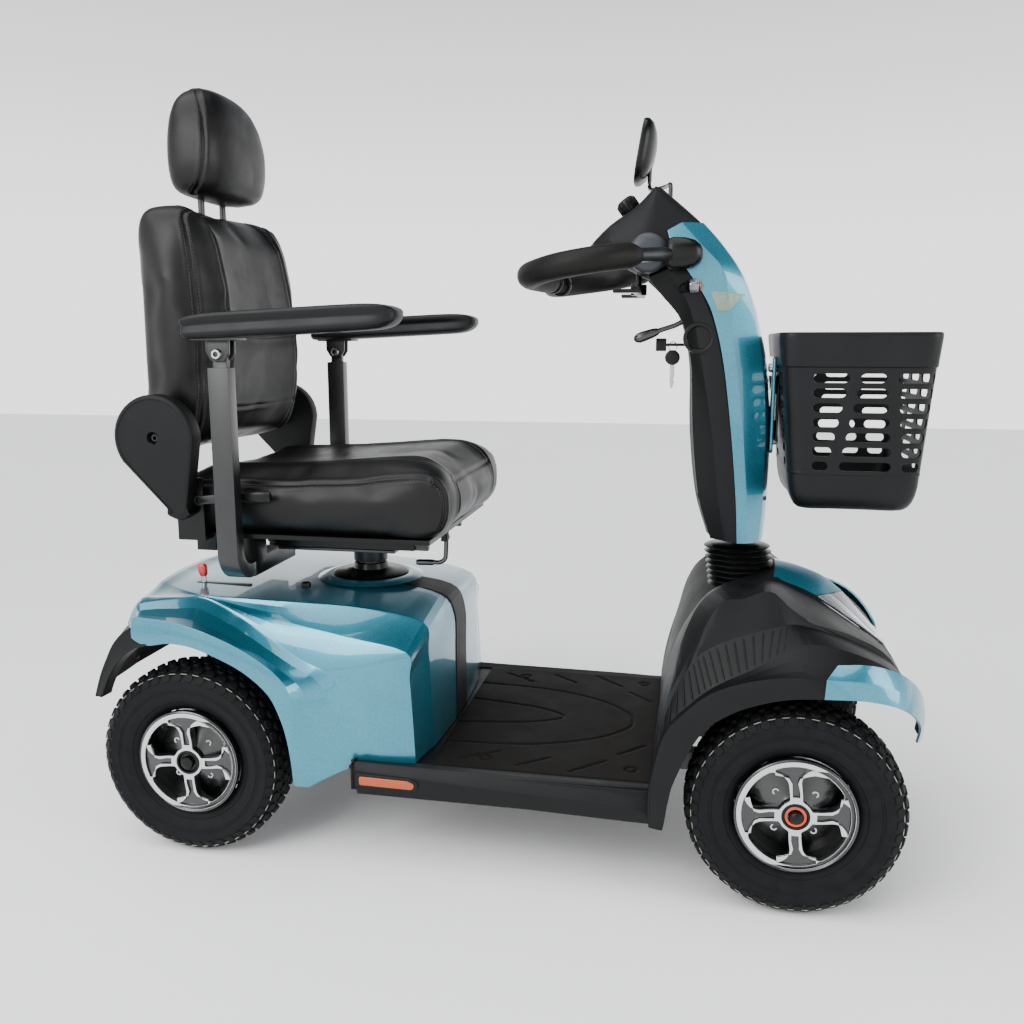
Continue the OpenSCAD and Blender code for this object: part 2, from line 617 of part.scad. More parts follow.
throttle_x = -198;
module throttle() color("#1c1d1f") at_steer() {
    cyl_z(throttle_x, 0, 5, 980, 1012);
    cyl_z(throttle_x, 0, 14, 966, 984);
    box(throttle_x - 6, throttle_x + 6, -104, 104, 966, 976);
    both_sides() box(throttle_x - 36, throttle_x - 6, 76, 104, 966, 972);
}
knob_axis = [-sin(37), 0, cos(37)];
knob_seat = [-212, 0, 1106];
module speed_knob() color("#1a1b1d") at_steer() {
    rod(knob_seat - 8 * knob_axis, knob_seat + 3 * knob_axis, 3);
    rod(knob_seat + 2 * knob_axis, knob_seat + 24 * knob_axis, 17);
}
key_z = 882;
module ignition_key() color("#7d8084") at_steer() {
    rod([-148, 0, key_z], [-100, 0, key_z], 2.5);
    box(-166, -148, -2, 2, key_z - 11, key_z + 11);
}
ring_x = -136;
module spare_key() color("#2a2b2d") at_steer() {
    translate([ring_x, 0, key_z - 8.5]) rotate([0, 90, 0]) rotate_extrude($fn = 48) translate([12.5,
        0]) circle(r = 1, $fn = 24);
    difference() {
        cyl_y(ring_x, key_z - 34, 14, -1.5, 1.5);
        cyl_y(ring_x, key_z - 27, 3, -5, 5);
    }
    box(ring_x - 4, ring_x + 4, -1, 1, key_z - 78, key_z - 47);
}
lever_x = -128;
lever_y = -32;
lever_z = 917;
module tilt_lever() color("#141516") at_steer() {
    difference() {
        union() {
            cyl_y(lever_x, lever_z, 6, lever_y - 8, lever_y + 8);
            rod([lever_x, lever_y, lever_z], [-170, lever_y, 901], 4);
        }
        cyl_y(lever_x, lever_z, 3 + run_gap, -far, far);
    }
    rod([-160, lever_y, 905], [-200, lever_y, 890], 9);
}
mirror_x = -150;
mirror_y = 62;
mirror_c = [-204, 230, 1245];
module mirror_arm() color("#1d1e20") at_steer() {
    cyl_z(mirror_x, mirror_y, 4 - run_gap, 1040, 1152);
    sweep(curve([[mirror_x, mirror_y, 1144], [mirror_x - 1, mirror_y + 9, 1160], [-160, 130, 1166],
        [-190, 205, 1172],
        [-196, 228, 1190], [-194, 230, 1240]], 3), 4, 8);
    translate([-194, 230, 1240]) sphere(r = 7);
}
module mirror_head() color("#1b1c1e") at_steer() translate(mirror_c) rotate([0, 11, 0]) difference() {
    rotate([90, 0, 90]) translate([0, 0, -10]) linear_extrude(22) rounded(112, 118, 34);
    translate([10, 0, -3]) sphere(r = 7.3);
    translate([-6, -5, -far]) cube([28, 10, far]);
    translate([-10, -14, -far]) cube([32, 19, far - 30]);
}

// ---- basket and its bracket ----
plate_x0 = 40;
plate_x1 = 44;
module basket_bracket() color("#1f2123") at_steer() {
    box(plate_x0, plate_x1, -28, 28, 720, 850);
    difference() {
        for (z = [724, 800]) box(10, plate_x0, -12, 12, z, z + 30);
        tiller_form(0);
    }
}
basket_side = [[76, 617], [236, 622], [271, 902], [37, 893]];
module basket_form(d) intersection() {
    slab_y(d == 0 ? basket_side : concat([for (p = [inset(basket_side, d)[0], inset(basket_side,
        d)[1]]) p],
        [[271 - d, 960], [33 + d, 960]]), -far, far);
    slab_x(mirrored([[basket_hw - 20 - d, 560], [basket_hw - d + 6, 1000]]), -far, far);
}
basket_rows = 5;
module basket() color("#191a1c") at_steer() {
    difference() {
        basket_form(0);
        basket_form(3);
        box(-far, plate_x1 + slide_gap, -50, 50, 500, far);
        for (i = [0:basket_rows - 1]) {
            for (x = [96, 146, 196]) box(x, x + 34, -far, far, 660 + i * 34, 676 + i * 34);
            for (y = [-110, -34, 42]) box(150, far, y, y + 66, 660 + i * 34, 676 + i * 34);
        }
    }
    // channel that hangs over the bracket's plate
    difference() {
        box(plate_x0 - 5, plate_x1 + 12, -34, 34, 730, 856);
        box(plate_x0 - slide_gap, plate_x1 + slide_gap, -28 - slide_gap, 28 + slide_gap, 0, 850.2);
        box(plate_x0 - 6, plate_x0, -16, 16, 0, 850);
        basket_form(3);
    }
    difference() {
        box(plate_x1 + slide_gap, plate_x1 + 6, -34, 34, 856, 893);
        basket_form(3);
    }
}

// ---- seat base: heights from the top of the pan ----
rail_in = 112;
rail_out = 124;
slide_l = 150;
module swivel_plate() color("#2c2e31") at_seat() {
    difference() {
        cyl_z(0, 0, post_r + 7, -84 + slide_gap, -42);
        cyl_z(0, 0, spigot_r + run_gap, -100, -40);
    }
    box(-130, 90, -130, 130, -42, -36);
    both_sides() {
        box(-slide_l, slide_l, rail_in, rail_out, -36, -28);
        box(-slide_l, slide_l, rail_in - 6, rail_out + 6, -28, -22);
    }
}
arm_x = -156;
arm_z = -61;
arm_y = cushion_hw + 26;
socket_hw = arm_bar / 2 + 3;
hinge_x = -280;
hinge_z = 169;
hinge_y = cushion_hw + 2;
module seat_pan() color("#1e2022") at_seat() {
    box(-272, 193, -cushion_hw + 25, cushion_hw - 25, -8, 0);
    box(-277, -240, -150, 150, -45, -8);
    both_sides() {
        // runners wrapped round the slide rails
        difference() {
            box(-132, 128, rail_in - 12.4, rail_out + 12.4, -34, -8);
            box(-far, far, rail_in - 6 - slide_gap, rail_out + 6 + slide_gap, -28 - slide_gap, -22 +
                slide_gap);
            box(-far, far, rail_in - slide_gap, rail_out + slide_gap, -far, -20);
        }
        // sockets that the armrest bars slide in
        difference() {
            union() {
                box(arm_x - socket_hw, arm_x + socket_hw, 30, cushion_hw - 30, arm_z - socket_hw,
                    arm_z + socket_hw);
                box(arm_x - socket_hw, arm_x + socket_hw, cushion_hw - 78, cushion_hw - 30, arm_z, -8);
            }
            box(arm_x - arm_bar / 2 - 0.1, arm_x + arm_bar / 2 + 0.1, 0, far, arm_z - arm_bar / 2 -
                0.1, arm_z + arm_bar / 2 + 0.1);
        }
        // brackets that carry the recliner
        box(-262, -212, cushion_hw - 25, hinge_y + 4, -8, 0);
        box(-262, -212, hinge_y, hinge_y + 4, 0, 100);
        cyl_y(-242, 80, 12, hinge_y + 4, hinge_y + 10);
    }
    scale_side(-1) cyl_y(recline_x, recline_z, 4, hinge_y + 4, hinge_y + 9.6);
    // ears of the slide lever
    for (y = [-93, -81]) box(165, 181, y, y + 3, -24, -8);
    cyl_y(slide_lever_x, slide_lever_z, 3, -93, -78);
}
cushion_side = [[-262, 0], [193, 0], [213, 30], [217, 80], [203, 120], [168, 132], [-32, 120], [-232,
    106], [-272, 92], [-278, 30]];
module seat_cushion() color("#1a1b1d") at_seat() intersection() {
    slab_y(cushion_side, -far, far);
    translate([-30, 0, 0]) linear_extrude(300) rounded(496, 2 * cushion_hw, 58);
}
module hinge_covers() color("#2a2c2e") at_seat() both_sides() difference() {
    union() {
        intersection() {
            union() {
                cyl_y(hinge_x, hinge_z, 72, hinge_y + 10, hinge_y + 36);
                slab_y([[hinge_x + 72, hinge_z], [-214, 46], [-240, 32], [-268, 40], [hinge_x - 60,
                    hinge_z - 40]], hinge_y + 10, hinge_y + 36);
            }
            box(-far, far, 0, far, 0, far);
        }
        cyl_y(hinge_x, hinge_z, 20, back_hw + 17.4, hinge_y + 10);
        cyl_y(hinge_x, hinge_z, 8, back_hw + 2, back_hw + 17.4);
    }
    cyl_y(hinge_x, hinge_z, 9, hinge_y + 30, hinge_y + 40);
    scale_side(1) difference() {
        slab_y([[hinge_x + 66, hinge_z], [-220, 52], [-240, 38], [-262, 46], [hinge_x - 54, hinge_z -
            36]], hinge_y + 9, hinge_y + 32);
        cyl_y(hinge_x, hinge_z, 40, 0, far);
        cyl_y(-242, 80, 16, 0, far);
    }
}
back_hw = cushion_hw - 25;
module back_frame() color("#1c1d1f") at_seat() difference() {
    union() {
        box(-365, -353, -back_hw - 15, back_hw + 15, 150, 530);
        both_sides() slab_y([[-365, 150], [-300, 143], [-262, 150], [-254, hinge_z], [-262, 190],
            [-330, 232], [-365, 232]], back_hw + 3, back_hw + 15);
    }
    both_sides() cyl_y(hinge_x, hinge_z, 8 + run_gap, back_hw, far);
}
stalk_x = -292;
stalk_y = 40;
back_side = [[-353, 140], [-262, 146], [-240, 170], [-231, 200], [-204, 290], [-208, 390], [-228,
    490], [-250, 540], [-288, 566], [-330, 562], [-353, 540]];
module back_cushion() color("#1a1b1d") at_seat() difference() {
    intersection() {
        slab_y(back_side, -far, far);
        translate([-500, 0, 353]) rotate([90, 0, 90]) linear_extrude(400) rounded(2 * back_hw, 426, 60);
    }
    both_sides() cyl_z(stalk_x, stalk_y, stalk_r + slide_gap, 380, far);
}
head_side = [[-330, 598], [-300, 582], [-262, 580], [-226, 600], [-216, 640], [-222, 700], [-246,
    756], [-282, 781], [-310, 762], [-328, 690]];
module headrest() color("#1a1b1d") at_seat() {
    intersection() {
        slab_y(head_side, -far, far);
        translate([-500, 0, 681]) rotate([90, 0, 90]) linear_extrude(400) rounded(220, 202, 60);
    }
    both_sides() cyl_z(stalk_x, stalk_y, stalk_r, 400, 600);
}
pivot_x = -155;
pivot_z = 307;
bend_r = 40;
module arm_post() difference() {
    union() {
        box(pivot_x - 19, pivot_x + 17, arm_y - 12, arm_y + 12, arm_z + bend_r, pivot_z - 22);
        translate([pivot_x + 17, arm_y - bend_r, arm_z + bend_r]) rotate([-90, 0, 0]) rotate([0, -90, 0])
            rotate_extrude(angle = 90) translate([bend_r - 12, 0]) square([24, 36]);
        box(pivot_x - 19, pivot_x + 17, cushion_hw - 28, arm_y - bend_r, arm_z - 12, arm_z + 12);
        box(arm_x - arm_bar / 2, arm_x + arm_bar / 2, 60, cushion_hw - 28, arm_z - arm_bar / 2,
            arm_z + arm_bar / 2);
        box(pivot_x - 12, pivot_x + 12, arm_y - 6, arm_y + 6, pivot_z - 22, pivot_z);
        cyl_y(pivot_x, pivot_z, 12, arm_y - 6, arm_y + 6);
    }
    cyl_y(pivot_x, pivot_z, 5 + run_gap, 0, far);
}
module arm_post_left() color("#202224") at_seat() arm_post();
module arm_post_right() color("#202224") at_seat() mirror([0, 1, 0]) arm_post();
pad_side = [[-205, 332], [-195, 329], [130, 345], [150, 358], [153, 372], [140, 384], [110, 386],
    [-190, 372], [-205, 362]];
module armrest() {
    slab_y(pad_side, arm_y - 32, arm_y + 44);
    for (y = [arm_y - 12, arm_y + 6.4]) {
        box(pivot_x - 12, pivot_x + 12, y, y + 5.6, pivot_z, 340);
        cyl_y(pivot_x, pivot_z, 12, y, y + 5.6);
    }
    cyl_y(pivot_x, pivot_z, 5, arm_y - 12, arm_y + 12);
}
module armrest_left() color("#1c1d1f") at_seat() armrest();
module armrest_right() color("#1c1d1f") at_seat() mirror([0, 1, 0]) armrest();
recline_x = -220;
recline_z = 62;
module recline_lever() color("#1d1e20") at_seat() scale_side(-1) difference() {
    union() {
        cyl_y(recline_x, recline_z, 9, hinge_y + 4.4, hinge_y + 9.4);
        slab_y([[recline_x, 55], [-140, 62], [-90, 64], [-90, 80], [-140, 78], [recline_x, 69]],
            hinge_y + 4.4, hinge_y + 9.4);
    }
    cyl_y(recline_x, recline_z, 4 + run_gap, 0, far);
}
slide_lever_x = 173;
slide_lever_z = -17;
module slide_lever() color("#1b1c1e") at_seat() difference() {
    union() {
        cyl_y(slide_lever_x, slide_lever_z, 6.5, -89.6, -81.4);
        rod([slide_lever_x, -85.5, slide_lever_z], [171, -85.5, -56], 4);
        rod([173, -85.5, -53], [118, -85.5, -67], 4);
    }
    cyl_y(slide_lever_x, slide_lever_z, 3 + run_gap, -far, far);
}

module rear_tyre_left() wheel_frame(rear_x, 1) tyre();
module rear_tyre_right() wheel_frame(rear_x, -1) tyre();
module front_tyre_left() wheel_frame(front_x, 1) tyre();
module front_tyre_right() wheel_frame(front_x, -1) tyre();
module rear_rim_left() wheel_frame(rear_x, 1) rim();
module rear_rim_right() wheel_frame(rear_x, -1) rim();
module front_rim_left() wheel_frame(front_x, 1) rim();
module front_rim_right() wheel_frame(front_x, -1) rim();
module rear_hub_left() wheel_frame(rear_x, 1) hub_hardware();
module rear_hub_right() wheel_frame(rear_x, -1) hub_hardware();
module front_hub_left() wheel_frame(front_x, 1) hub_hardware();
module front_hub_right() wheel_frame(front_x, -1) hub_hardware();

main_frame();
transaxle();
batteries();
rear_shroud();
shroud_strip();
rear_bumper();
tail_lights();
seat_post();
footboard();
side_reflectors();
front_cowl();
cowl_panels();
headlight();
freewheel_lever();
rear_tyre_left();
rear_tyre_right();
front_tyre_left();
front_tyre_right();
rear_rim_left();
rear_rim_right();
front_rim_left();
front_rim_right();
rear_hub_left();
rear_hub_right();
front_hub_left();
front_hub_right();
knuckle_left();
knuckle_right();
track_rod();
steering_shaft();
gaiter();
tiller_column();
tiller_front_cover();
tiller_rear_cover();
tiller_head();
handlebar();
hand_grips();
indicators();
basket_bracket();
throttle();
speed_knob();
ignition_key();
spare_key();
tilt_lever();
mirror_arm();
mirror_head();
basket();
swivel_plate();
seat_pan();
seat_cushion();
hinge_covers();
back_frame();
back_cushion();
headrest();
arm_post_left();
arm_post_right();
armrest_left();
armrest_right();
recline_lever();
slide_lever();
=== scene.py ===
# %% [markdown]
# # A four-wheeled mobility scooter
# The CAD model already holds every size and every moving part of this scooter. Here it is dressed:
# each part gets the surface that the real one has, from lacquered body panels to stuffed vinyl cushions.
# All lengths below are written in millimetres, as a workshop drawing has them, and are turned to metres
# in one place. +X is the front, +Y is the rider's left, +Z is up and the floor is at zero.

# %% Load the finished CAD model
import math
from contextlib import contextmanager

import bmesh
import bpy
import numpy as np
from mathutils import Matrix, Vector
from mathutils.bvhtree import BVHTree


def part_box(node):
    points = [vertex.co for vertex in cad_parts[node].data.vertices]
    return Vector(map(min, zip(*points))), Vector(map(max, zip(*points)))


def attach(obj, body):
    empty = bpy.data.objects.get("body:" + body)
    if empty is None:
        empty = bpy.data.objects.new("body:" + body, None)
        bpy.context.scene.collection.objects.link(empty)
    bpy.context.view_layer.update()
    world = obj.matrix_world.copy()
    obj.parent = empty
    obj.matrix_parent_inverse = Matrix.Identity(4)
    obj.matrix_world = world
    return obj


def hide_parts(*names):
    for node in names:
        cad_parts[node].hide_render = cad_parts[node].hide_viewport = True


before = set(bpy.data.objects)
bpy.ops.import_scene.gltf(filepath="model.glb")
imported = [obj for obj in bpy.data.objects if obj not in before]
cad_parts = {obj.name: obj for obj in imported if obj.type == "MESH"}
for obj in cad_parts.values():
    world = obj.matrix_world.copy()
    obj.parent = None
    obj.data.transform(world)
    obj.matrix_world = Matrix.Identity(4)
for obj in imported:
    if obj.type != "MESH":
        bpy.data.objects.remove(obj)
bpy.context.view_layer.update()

# %% [markdown]
# ## The camera and the light
# The scooter is seen from its right side, from about the height of the seat, with a slightly wide lens.
# The camera is placed first, because every later choice is judged through it. A big soft lamp on the
# near left side, a weaker one in front and a pale room give black plastic its soft highlights.

# %% Camera
MM = 0.001


def placed(name, data):
    """A new object at the origin that shows the data."""
    made = bpy.data.objects.new(name, data)
    bpy.context.scene.collection.objects.link(made)
    return made


def aimed(name, data, place, direction):
    """A lamp or camera at a place, looking along a direction."""
    made = placed(name, data)
    made.location = place
    made.rotation_mode = "QUATERNION"
    made.rotation_quaternion = direction.to_track_quat("-Z", "Y")
    return made


TURN, TILT = 0.191, 0.176  # radians: how far the camera is turned to the left, and down
looking = Vector((-math.sin(TURN) * math.cos(TILT), math.cos(TURN) * math.cos(TILT), -math.sin(TILT)))
camera_data = bpy.data.cameras.new("camera")
camera_data.lens, camera_data.sensor_width = 33.3, 36.0
camera = aimed("camera", camera_data, (0.336, -1.695, 0.884), looking)
bpy.context.scene.camera = camera
print(f"camera {camera_data.lens} mm at {tuple(camera.location)}")


# %% [markdown]
# ## Colours and the node helper
# Colours are written as the hex values of a paint card. The renderer works with linear light, so one
# function turns them. Every finish is then a small node tree, and one helper adds a node, sets its
# plain values and links the rest.

# %% Colour and node helpers
def colour(hex_value):
    """A paint card value such as #2f8fa3 as linear light, with full opacity."""
    parts = [int(hex_value[i:i + 2], 16) / 255 for i in (1, 3, 5)]
    return tuple(c / 12.92 if c <= 0.04045 else ((c + 0.055) / 1.055) ** 2.4 for c in parts) + (1.0,)


def node(tree, kind, links=None, values=None, stops=(), to=None, **settings):
    """Adds a node. links are its wired inputs, values its plain ones, stops the colours of a ramp and
    settings its own options. Its first output can go straight to a socket."""
    made = tree.nodes.new(kind)
    for key, value in settings.items():
        setattr(made, key, value)
    for key, value in (values or {}).items():
        made.inputs[key].default_value = value
    for key, socket in (links or {}).items():
        tree.links.new(socket, made.inputs[key])
    for number, (position, shade) in enumerate(stops):
        made.color_ramp.elements[number].position = position
        made.color_ramp.elements[number].color = colour(shade)
    if to is not None:
        tree.links.new(made.outputs[0], to)
    return made


def finish(name, **surface):
    """A new material with one Principled shader. Returns it, its tree, the shader's inputs and its place."""
    material = bpy.data.materials.new(name)
    material.use_nodes = True
    tree = material.node_tree
    tree.nodes.clear()
    shader = node(tree, "ShaderNodeBsdfPrincipled", values={k.replace("_", " "): v for k,
        v in surface.items()})
    node(tree, "ShaderNodeOutputMaterial", {"Surface": shader.outputs[0]})
    place = {"Vector": node(tree, "ShaderNodeTexCoord").outputs["Object"]}
    return material, tree, shader.inputs, place


print("helpers ready")


# %% [markdown]
# ## The finishes
# Each finish starts from what the real material is and how it was made. Grain and flakes are worked out
# from a size in millimetres. Those too fine for the render are drawn a little coarser than real.

# %% Metallic lacquer: a base coat with aluminium flakes under a thick clear coat
def metallic_lacquer():
    """Flakes 1.2 mm apart, drawn coarser than real so that they show; the clear coat is nearly a mirror."""
    material, tree, inputs, place = finish("teal_metallic_lacquer", Metallic=0.75, Roughness=0.32,
                                           Coat_Weight=1.0, Coat_Roughness=0.035, Coat_IOR=1.55)
    flakes = node(tree, "ShaderNodeTexVoronoi", place, {"Scale": 1 / (1.2 * MM)})
    cloud = node(tree, "ShaderNodeTexNoise", place, {"Scale": 1 / (160 * MM), "Detail": 2.0})
    flake_shade = node(tree, "ShaderNodeValToRGB", {"Fac": flakes.outputs["Color"]},
        stops=((0.1, "#216f86"), (0.9, "#3c92a8")))
    wide_shade = node(tree, "ShaderNodeValToRGB", {"Fac": cloud.outputs["Fac"]},
        stops=((0.35, "#1e6a80"), (0.65, "#30859b")))
    mixed = node(tree, "ShaderNodeMix", values={"Factor": 0.45}, data_type="RGBA",
                 links={"A": flake_shade.outputs["Color"], "B": wide_shade.outputs["Color"]})
    tree.links.new(mixed.outputs["Result"], inputs["Base Color"])
    peel = node(tree, "ShaderNodeTexNoise", place, {"Scale": 1 / (9 * MM), "Detail": 1.0})
    node(tree, "ShaderNodeBump", {"Height": peel.outputs["Fac"]}, {"Distance": 0.05 * MM, "Strength": 0.25},
        to=inputs["Normal"])
    return material


lacquer = metallic_lacquer()
print(lacquer.name)


# %% Moulded black plastic in several grains
def moulded_plastic(name, dark, light, roughness, grain_mm, depth_mm, specular=0.45):
    """Injection-moulded plastic: grain from the mould, with faint handling marks in the sheen."""
    material, tree, inputs, place = finish(name, Specular_IOR_Level=specular)
    grain = node(tree, "ShaderNodeTexNoise", place, {"Scale": 1 / (grain_mm * MM),
        "Detail": 3.0}).outputs["Fac"]
    marks = node(tree, "ShaderNodeTexNoise", place, {"Scale": 1 / (55 * MM), "Detail": 4.0}).outputs["Fac"]
    node(tree, "ShaderNodeValToRGB", {"Fac": marks}, stops=((0.3, dark), (0.7, light)),
        to=inputs["Base Color"])
    node(tree, "ShaderNodeMapRange", {"Value": marks}, to=inputs["Roughness"],
         values={"From Min": 0.3, "From Max": 0.7, "To Min": roughness - 0.05, "To Max": roughness + 0.06})
    node(tree, "ShaderNodeBump", {"Height": grain}, {"Distance": depth_mm * MM, "Strength": 0.6},
        to=inputs["Normal"])
    return material


grained = moulded_plastic("grained_black_abs", "#08090a", "#0d0e0f", 0.5, 1.1, 0.14, 0.2)
smooth_black = moulded_plastic("smooth_black_abs", "#060707", "#090a0a", 0.3, 2.5, 0.03, 0.24)
deck_mat = moulded_plastic("pebbled_deck_rubber", "#0e0c0a", "#14110f", 0.66, 1.8, 0.24, 0.12)
basket_plastic = moulded_plastic("basket_polypropylene", "#090a0b", "#0e1011", 0.42, 1.6, 0.08, 0.22)
foam = moulded_plastic("moulded_polyurethane", "#08090b", "#0d0e11", 0.42, 0.9, 0.10, 0.24)
grip_rubber = moulded_plastic("soft_grip_rubber", "#090807", "#0f0d0b", 0.52, 0.8, 0.10, 0.2)
moulded_grey = moulded_plastic("satin_grey_abs", "#2a2d33", "#34373d", 0.4, 1.5, 0.06, 0.35)
print("plastics ready")


# %% Painted and plated metal
def powder_coat(name, dark, light, roughness, metallic=0.0, coat=0.25):
    """Powder-coated or plated steel: a faint orange peel from the melted powder, and a thin gloss over it."""
    material, tree, inputs, place = finish(name, Metallic=metallic, Coat_Weight=coat, Coat_Roughness=0.25)
    peel = node(tree, "ShaderNodeTexNoise", place, {"Scale": 1 / (2.5 * MM), "Detail": 2.0}).outputs["Fac"]
    wear = node(tree, "ShaderNodeTexNoise", place, {"Scale": 1 / (30 * MM), "Detail": 5.0}).outputs["Fac"]
    node(tree, "ShaderNodeValToRGB", {"Fac": wear}, stops=((0.3, dark), (0.7, light)),
        to=inputs["Base Color"])
    node(tree, "ShaderNodeMapRange", {"Value": wear}, {"To Min": roughness - 0.06,
        "To Max": roughness + 0.06},
         to=inputs["Roughness"])
    node(tree, "ShaderNodeBump", {"Height": peel}, {"Distance": 0.05 * MM, "Strength": 0.35},
        to=inputs["Normal"])
    return material


satin_black = powder_coat("satin_black_powder_coat", "#0b0c0d", "#111214", 0.36)
black_steel = powder_coat("black_zinc_steel", "#1b1c1e", "#26282a", 0.4, 0.4)
zinc = powder_coat("zinc_plated_steel", "#a9abad", "#c9cbcc", 0.26, 1.0, 0.0)
cast_alloy = powder_coat("cast_aluminium", "#7b7d80", "#96989b", 0.5, 0.9, 0.0)
gloss_black = powder_coat("gloss_black_enamel", "#08090a", "#0e0f10", 0.2, 0.0, 0.8)
red_cap = powder_coat("red_vinyl_dip", "#b9261c", "#cf3a2c", 0.36)
orange_ring = powder_coat("orange_nylon", "#a83a12", "#c8501c", 0.5)


def machined_aluminium():
    """A lathe-turned and milled face: fine circular tool marks, bright and slightly blurred."""
    material, tree, inputs, place = finish("machined_aluminium", Metallic=1.0, Roughness=0.2,
        Coat_Weight=0.4, Coat_Roughness=0.1)
    marks = node(tree, "ShaderNodeTexWave", place, {"Scale": 1 / (5 * MM), "Distortion": 0.6},
                 wave_type="RINGS", rings_direction="Y").outputs["Fac"]
    node(tree, "ShaderNodeValToRGB", {"Fac": marks}, stops=((0.0, "#bfc1c3"), (1.0, "#dcdedf")),
        to=inputs["Base Color"])
    node(tree, "ShaderNodeBump", {"Height": marks}, {"Distance": 0.02 * MM, "Strength": 0.3},
        to=inputs["Normal"])
    return material


machined = machined_aluminium()
print("metals ready")


# %% Tyre rubber, vinyl, lenses and a painted reflection
def tyre_rubber():
    """Carbon-black rubber from a hot mould, with a little pale dust worked into it."""
    material, tree, inputs, place = finish("tyre_rubber", Specular_IOR_Level=0.14)
    dust = node(tree, "ShaderNodeTexNoise", place, {"Scale": 1 / (24 * MM), "Detail": 8.0,
        "Roughness": 0.65}).outputs["Fac"]
    fine = node(tree, "ShaderNodeTexNoise", place, {"Scale": 1 / (1.5 * MM), "Detail": 4.0}).outputs["Fac"]
    node(tree, "ShaderNodeValToRGB", {"Fac": dust}, stops=((0.35, "#090a0a"), (0.8, "#15161a")),
        to=inputs["Base Color"])
    node(tree, "ShaderNodeMapRange", {"Value": dust}, {"To Min": 0.5, "To Max": 0.72}, to=inputs["Roughness"])
    node(tree, "ShaderNodeBump", {"Height": fine}, {"Distance": 0.12 * MM, "Strength": 0.4},
        to=inputs["Normal"])
    return material


def grained_vinyl():
    """Embossed upholstery vinyl: leather-like cells 1.6 mm wide, and long soft creases from the stretch."""
    material, tree, inputs, place = finish("black_upholstery_vinyl", Specular_IOR_Level=0.24,
        Coat_Weight=0.05, Coat_Roughness=0.3)
    cells = node(tree, "ShaderNodeTexVoronoi", place, {"Scale": 1 / (1.6 * MM)}, feature="DISTANCE_TO_EDGE")
    creases = node(tree, "ShaderNodeTexNoise", place, {"Scale": 1 / (70 * MM), "Detail": 4.0,
        "Distortion": 0.8}).outputs["Fac"]
    node(tree, "ShaderNodeValToRGB", {"Fac": creases}, stops=((0.3, "#070707"), (0.7, "#0b0a0a")),
        to=inputs["Base Color"])
    node(tree, "ShaderNodeMapRange", {"Value": creases}, to=inputs["Roughness"],
         values={"From Min": 0.3, "From Max": 0.7, "To Min": 0.36, "To Max": 0.5})
    soft = node(tree, "ShaderNodeBump", {"Height": creases}, {"Distance": 2.0 * MM, "Strength": 0.2})
    node(tree, "ShaderNodeBump", {"Height": cells.outputs["Distance"], "Normal": soft.outputs[0]},
         {"Distance": 0.12 * MM, "Strength": 0.35}, to=inputs["Normal"])
    return material


def prism_lens(name, dark, light):
    """A reflector: small moulded prisms 3 mm apart behind a smooth clear face."""
    material, tree, inputs, place = finish(name, Roughness=0.3, Coat_Weight=0.35, Coat_Roughness=0.08,
        IOR=1.45)
    prisms = node(tree, "ShaderNodeTexVoronoi", place, {"Scale": 1 / (3.2 * MM), "Randomness": 0.15},
                  distance="CHEBYCHEV").outputs["Distance"]
    node(tree, "ShaderNodeValToRGB", {"Fac": prisms}, stops=((0.05, light), (0.6, dark)),
        to=inputs["Base Color"])
    node(tree, "ShaderNodeBump", {"Height": prisms}, {"Distance": 0.8 * MM, "Strength": 0.6},
        to=inputs["Normal"])
    return material


def clear_lens():
    """Polycarbonate: clear, faintly grey, with the ripple of the mould."""
    material, tree, inputs, place = finish("clear_polycarbonate", Roughness=0.05, IOR=1.58,
        Transmission_Weight=0.82,
                                           Coat_Weight=1.0, Coat_Roughness=0.03)
    ripple = node(tree, "ShaderNodeTexWave", place, {"Scale": 1 / (26 * MM), "Distortion": 1.5},
                  bands_direction="DIAGONAL").outputs["Fac"]
    node(tree, "ShaderNodeValToRGB", {"Fac": ripple}, stops=((0.0, "#c9d2d4"), (1.0, "#eef2f2")),
        to=inputs["Base Color"])
    node(tree, "ShaderNodeBump", {"Height": ripple}, {"Distance": 0.3 * MM, "Strength": 0.3},
        to=inputs["Normal"])
    return material


def mirror_glass():
    """Silvered glass: nearly perfect, with a faint haze of dust."""
    material, tree, inputs, place = finish("silvered_glass", Metallic=1.0)
    haze = node(tree, "ShaderNodeTexNoise", place, {"Scale": 1 / (12 * MM), "Detail": 6.0}).outputs["Fac"]
    node(tree, "ShaderNodeValToRGB", {"Fac": haze}, stops=((0.3, "#d6dadb"), (0.7, "#eceeee")),
        to=inputs["Base Color"])
    node(tree, "ShaderNodeMapRange", {"Value": haze}, {"To Min": 0.01, "To Max": 0.06},
        to=inputs["Roughness"])
    return material


tyre_black, vinyl = tyre_rubber(), grained_vinyl()
amber, red_lens, lens = prism_lens("amber_reflector", "#7d2c08", "#c8591c"), prism_lens("red_lens",
    "#7d0d0c", "#c22a20"), clear_lens()
silvered = mirror_glass()
# A painted reflection: a greenish-white patch of studio light on a chamfer facet of the tiller's front cover,
# drawn with the prism finish. It is not a lens.
painted_facet_reflection = prism_lens("smoked_side_lens", "#5f7668", "#93a893")
print(f"{len(bpy.data.materials)} materials")


# %% [markdown]
# ## Making a piece
# A piece is made from points in millimetres, gets a material, then rides on the CAD body that moves it.
# Where a piece stands for a CAD node, that node is hidden. Modifiers such as Bevel and Subdivision
# Surface are baked into the mesh, so the mesh holds what is seen.

# %% Piece helpers
FLIP = np.array([1.0, -1.0, 1.0])  # the other side of the scooter


def painted(material, *pieces):
    """Gives pieces their material, in place of any they have."""
    for piece in pieces:
        piece.data.materials.clear()
        piece.data.materials.append(material)
    return pieces[0]


def removed(*pieces):
    """Deletes pieces that were only a pattern or a part."""
    for piece in pieces:
        bpy.data.objects.remove(piece)


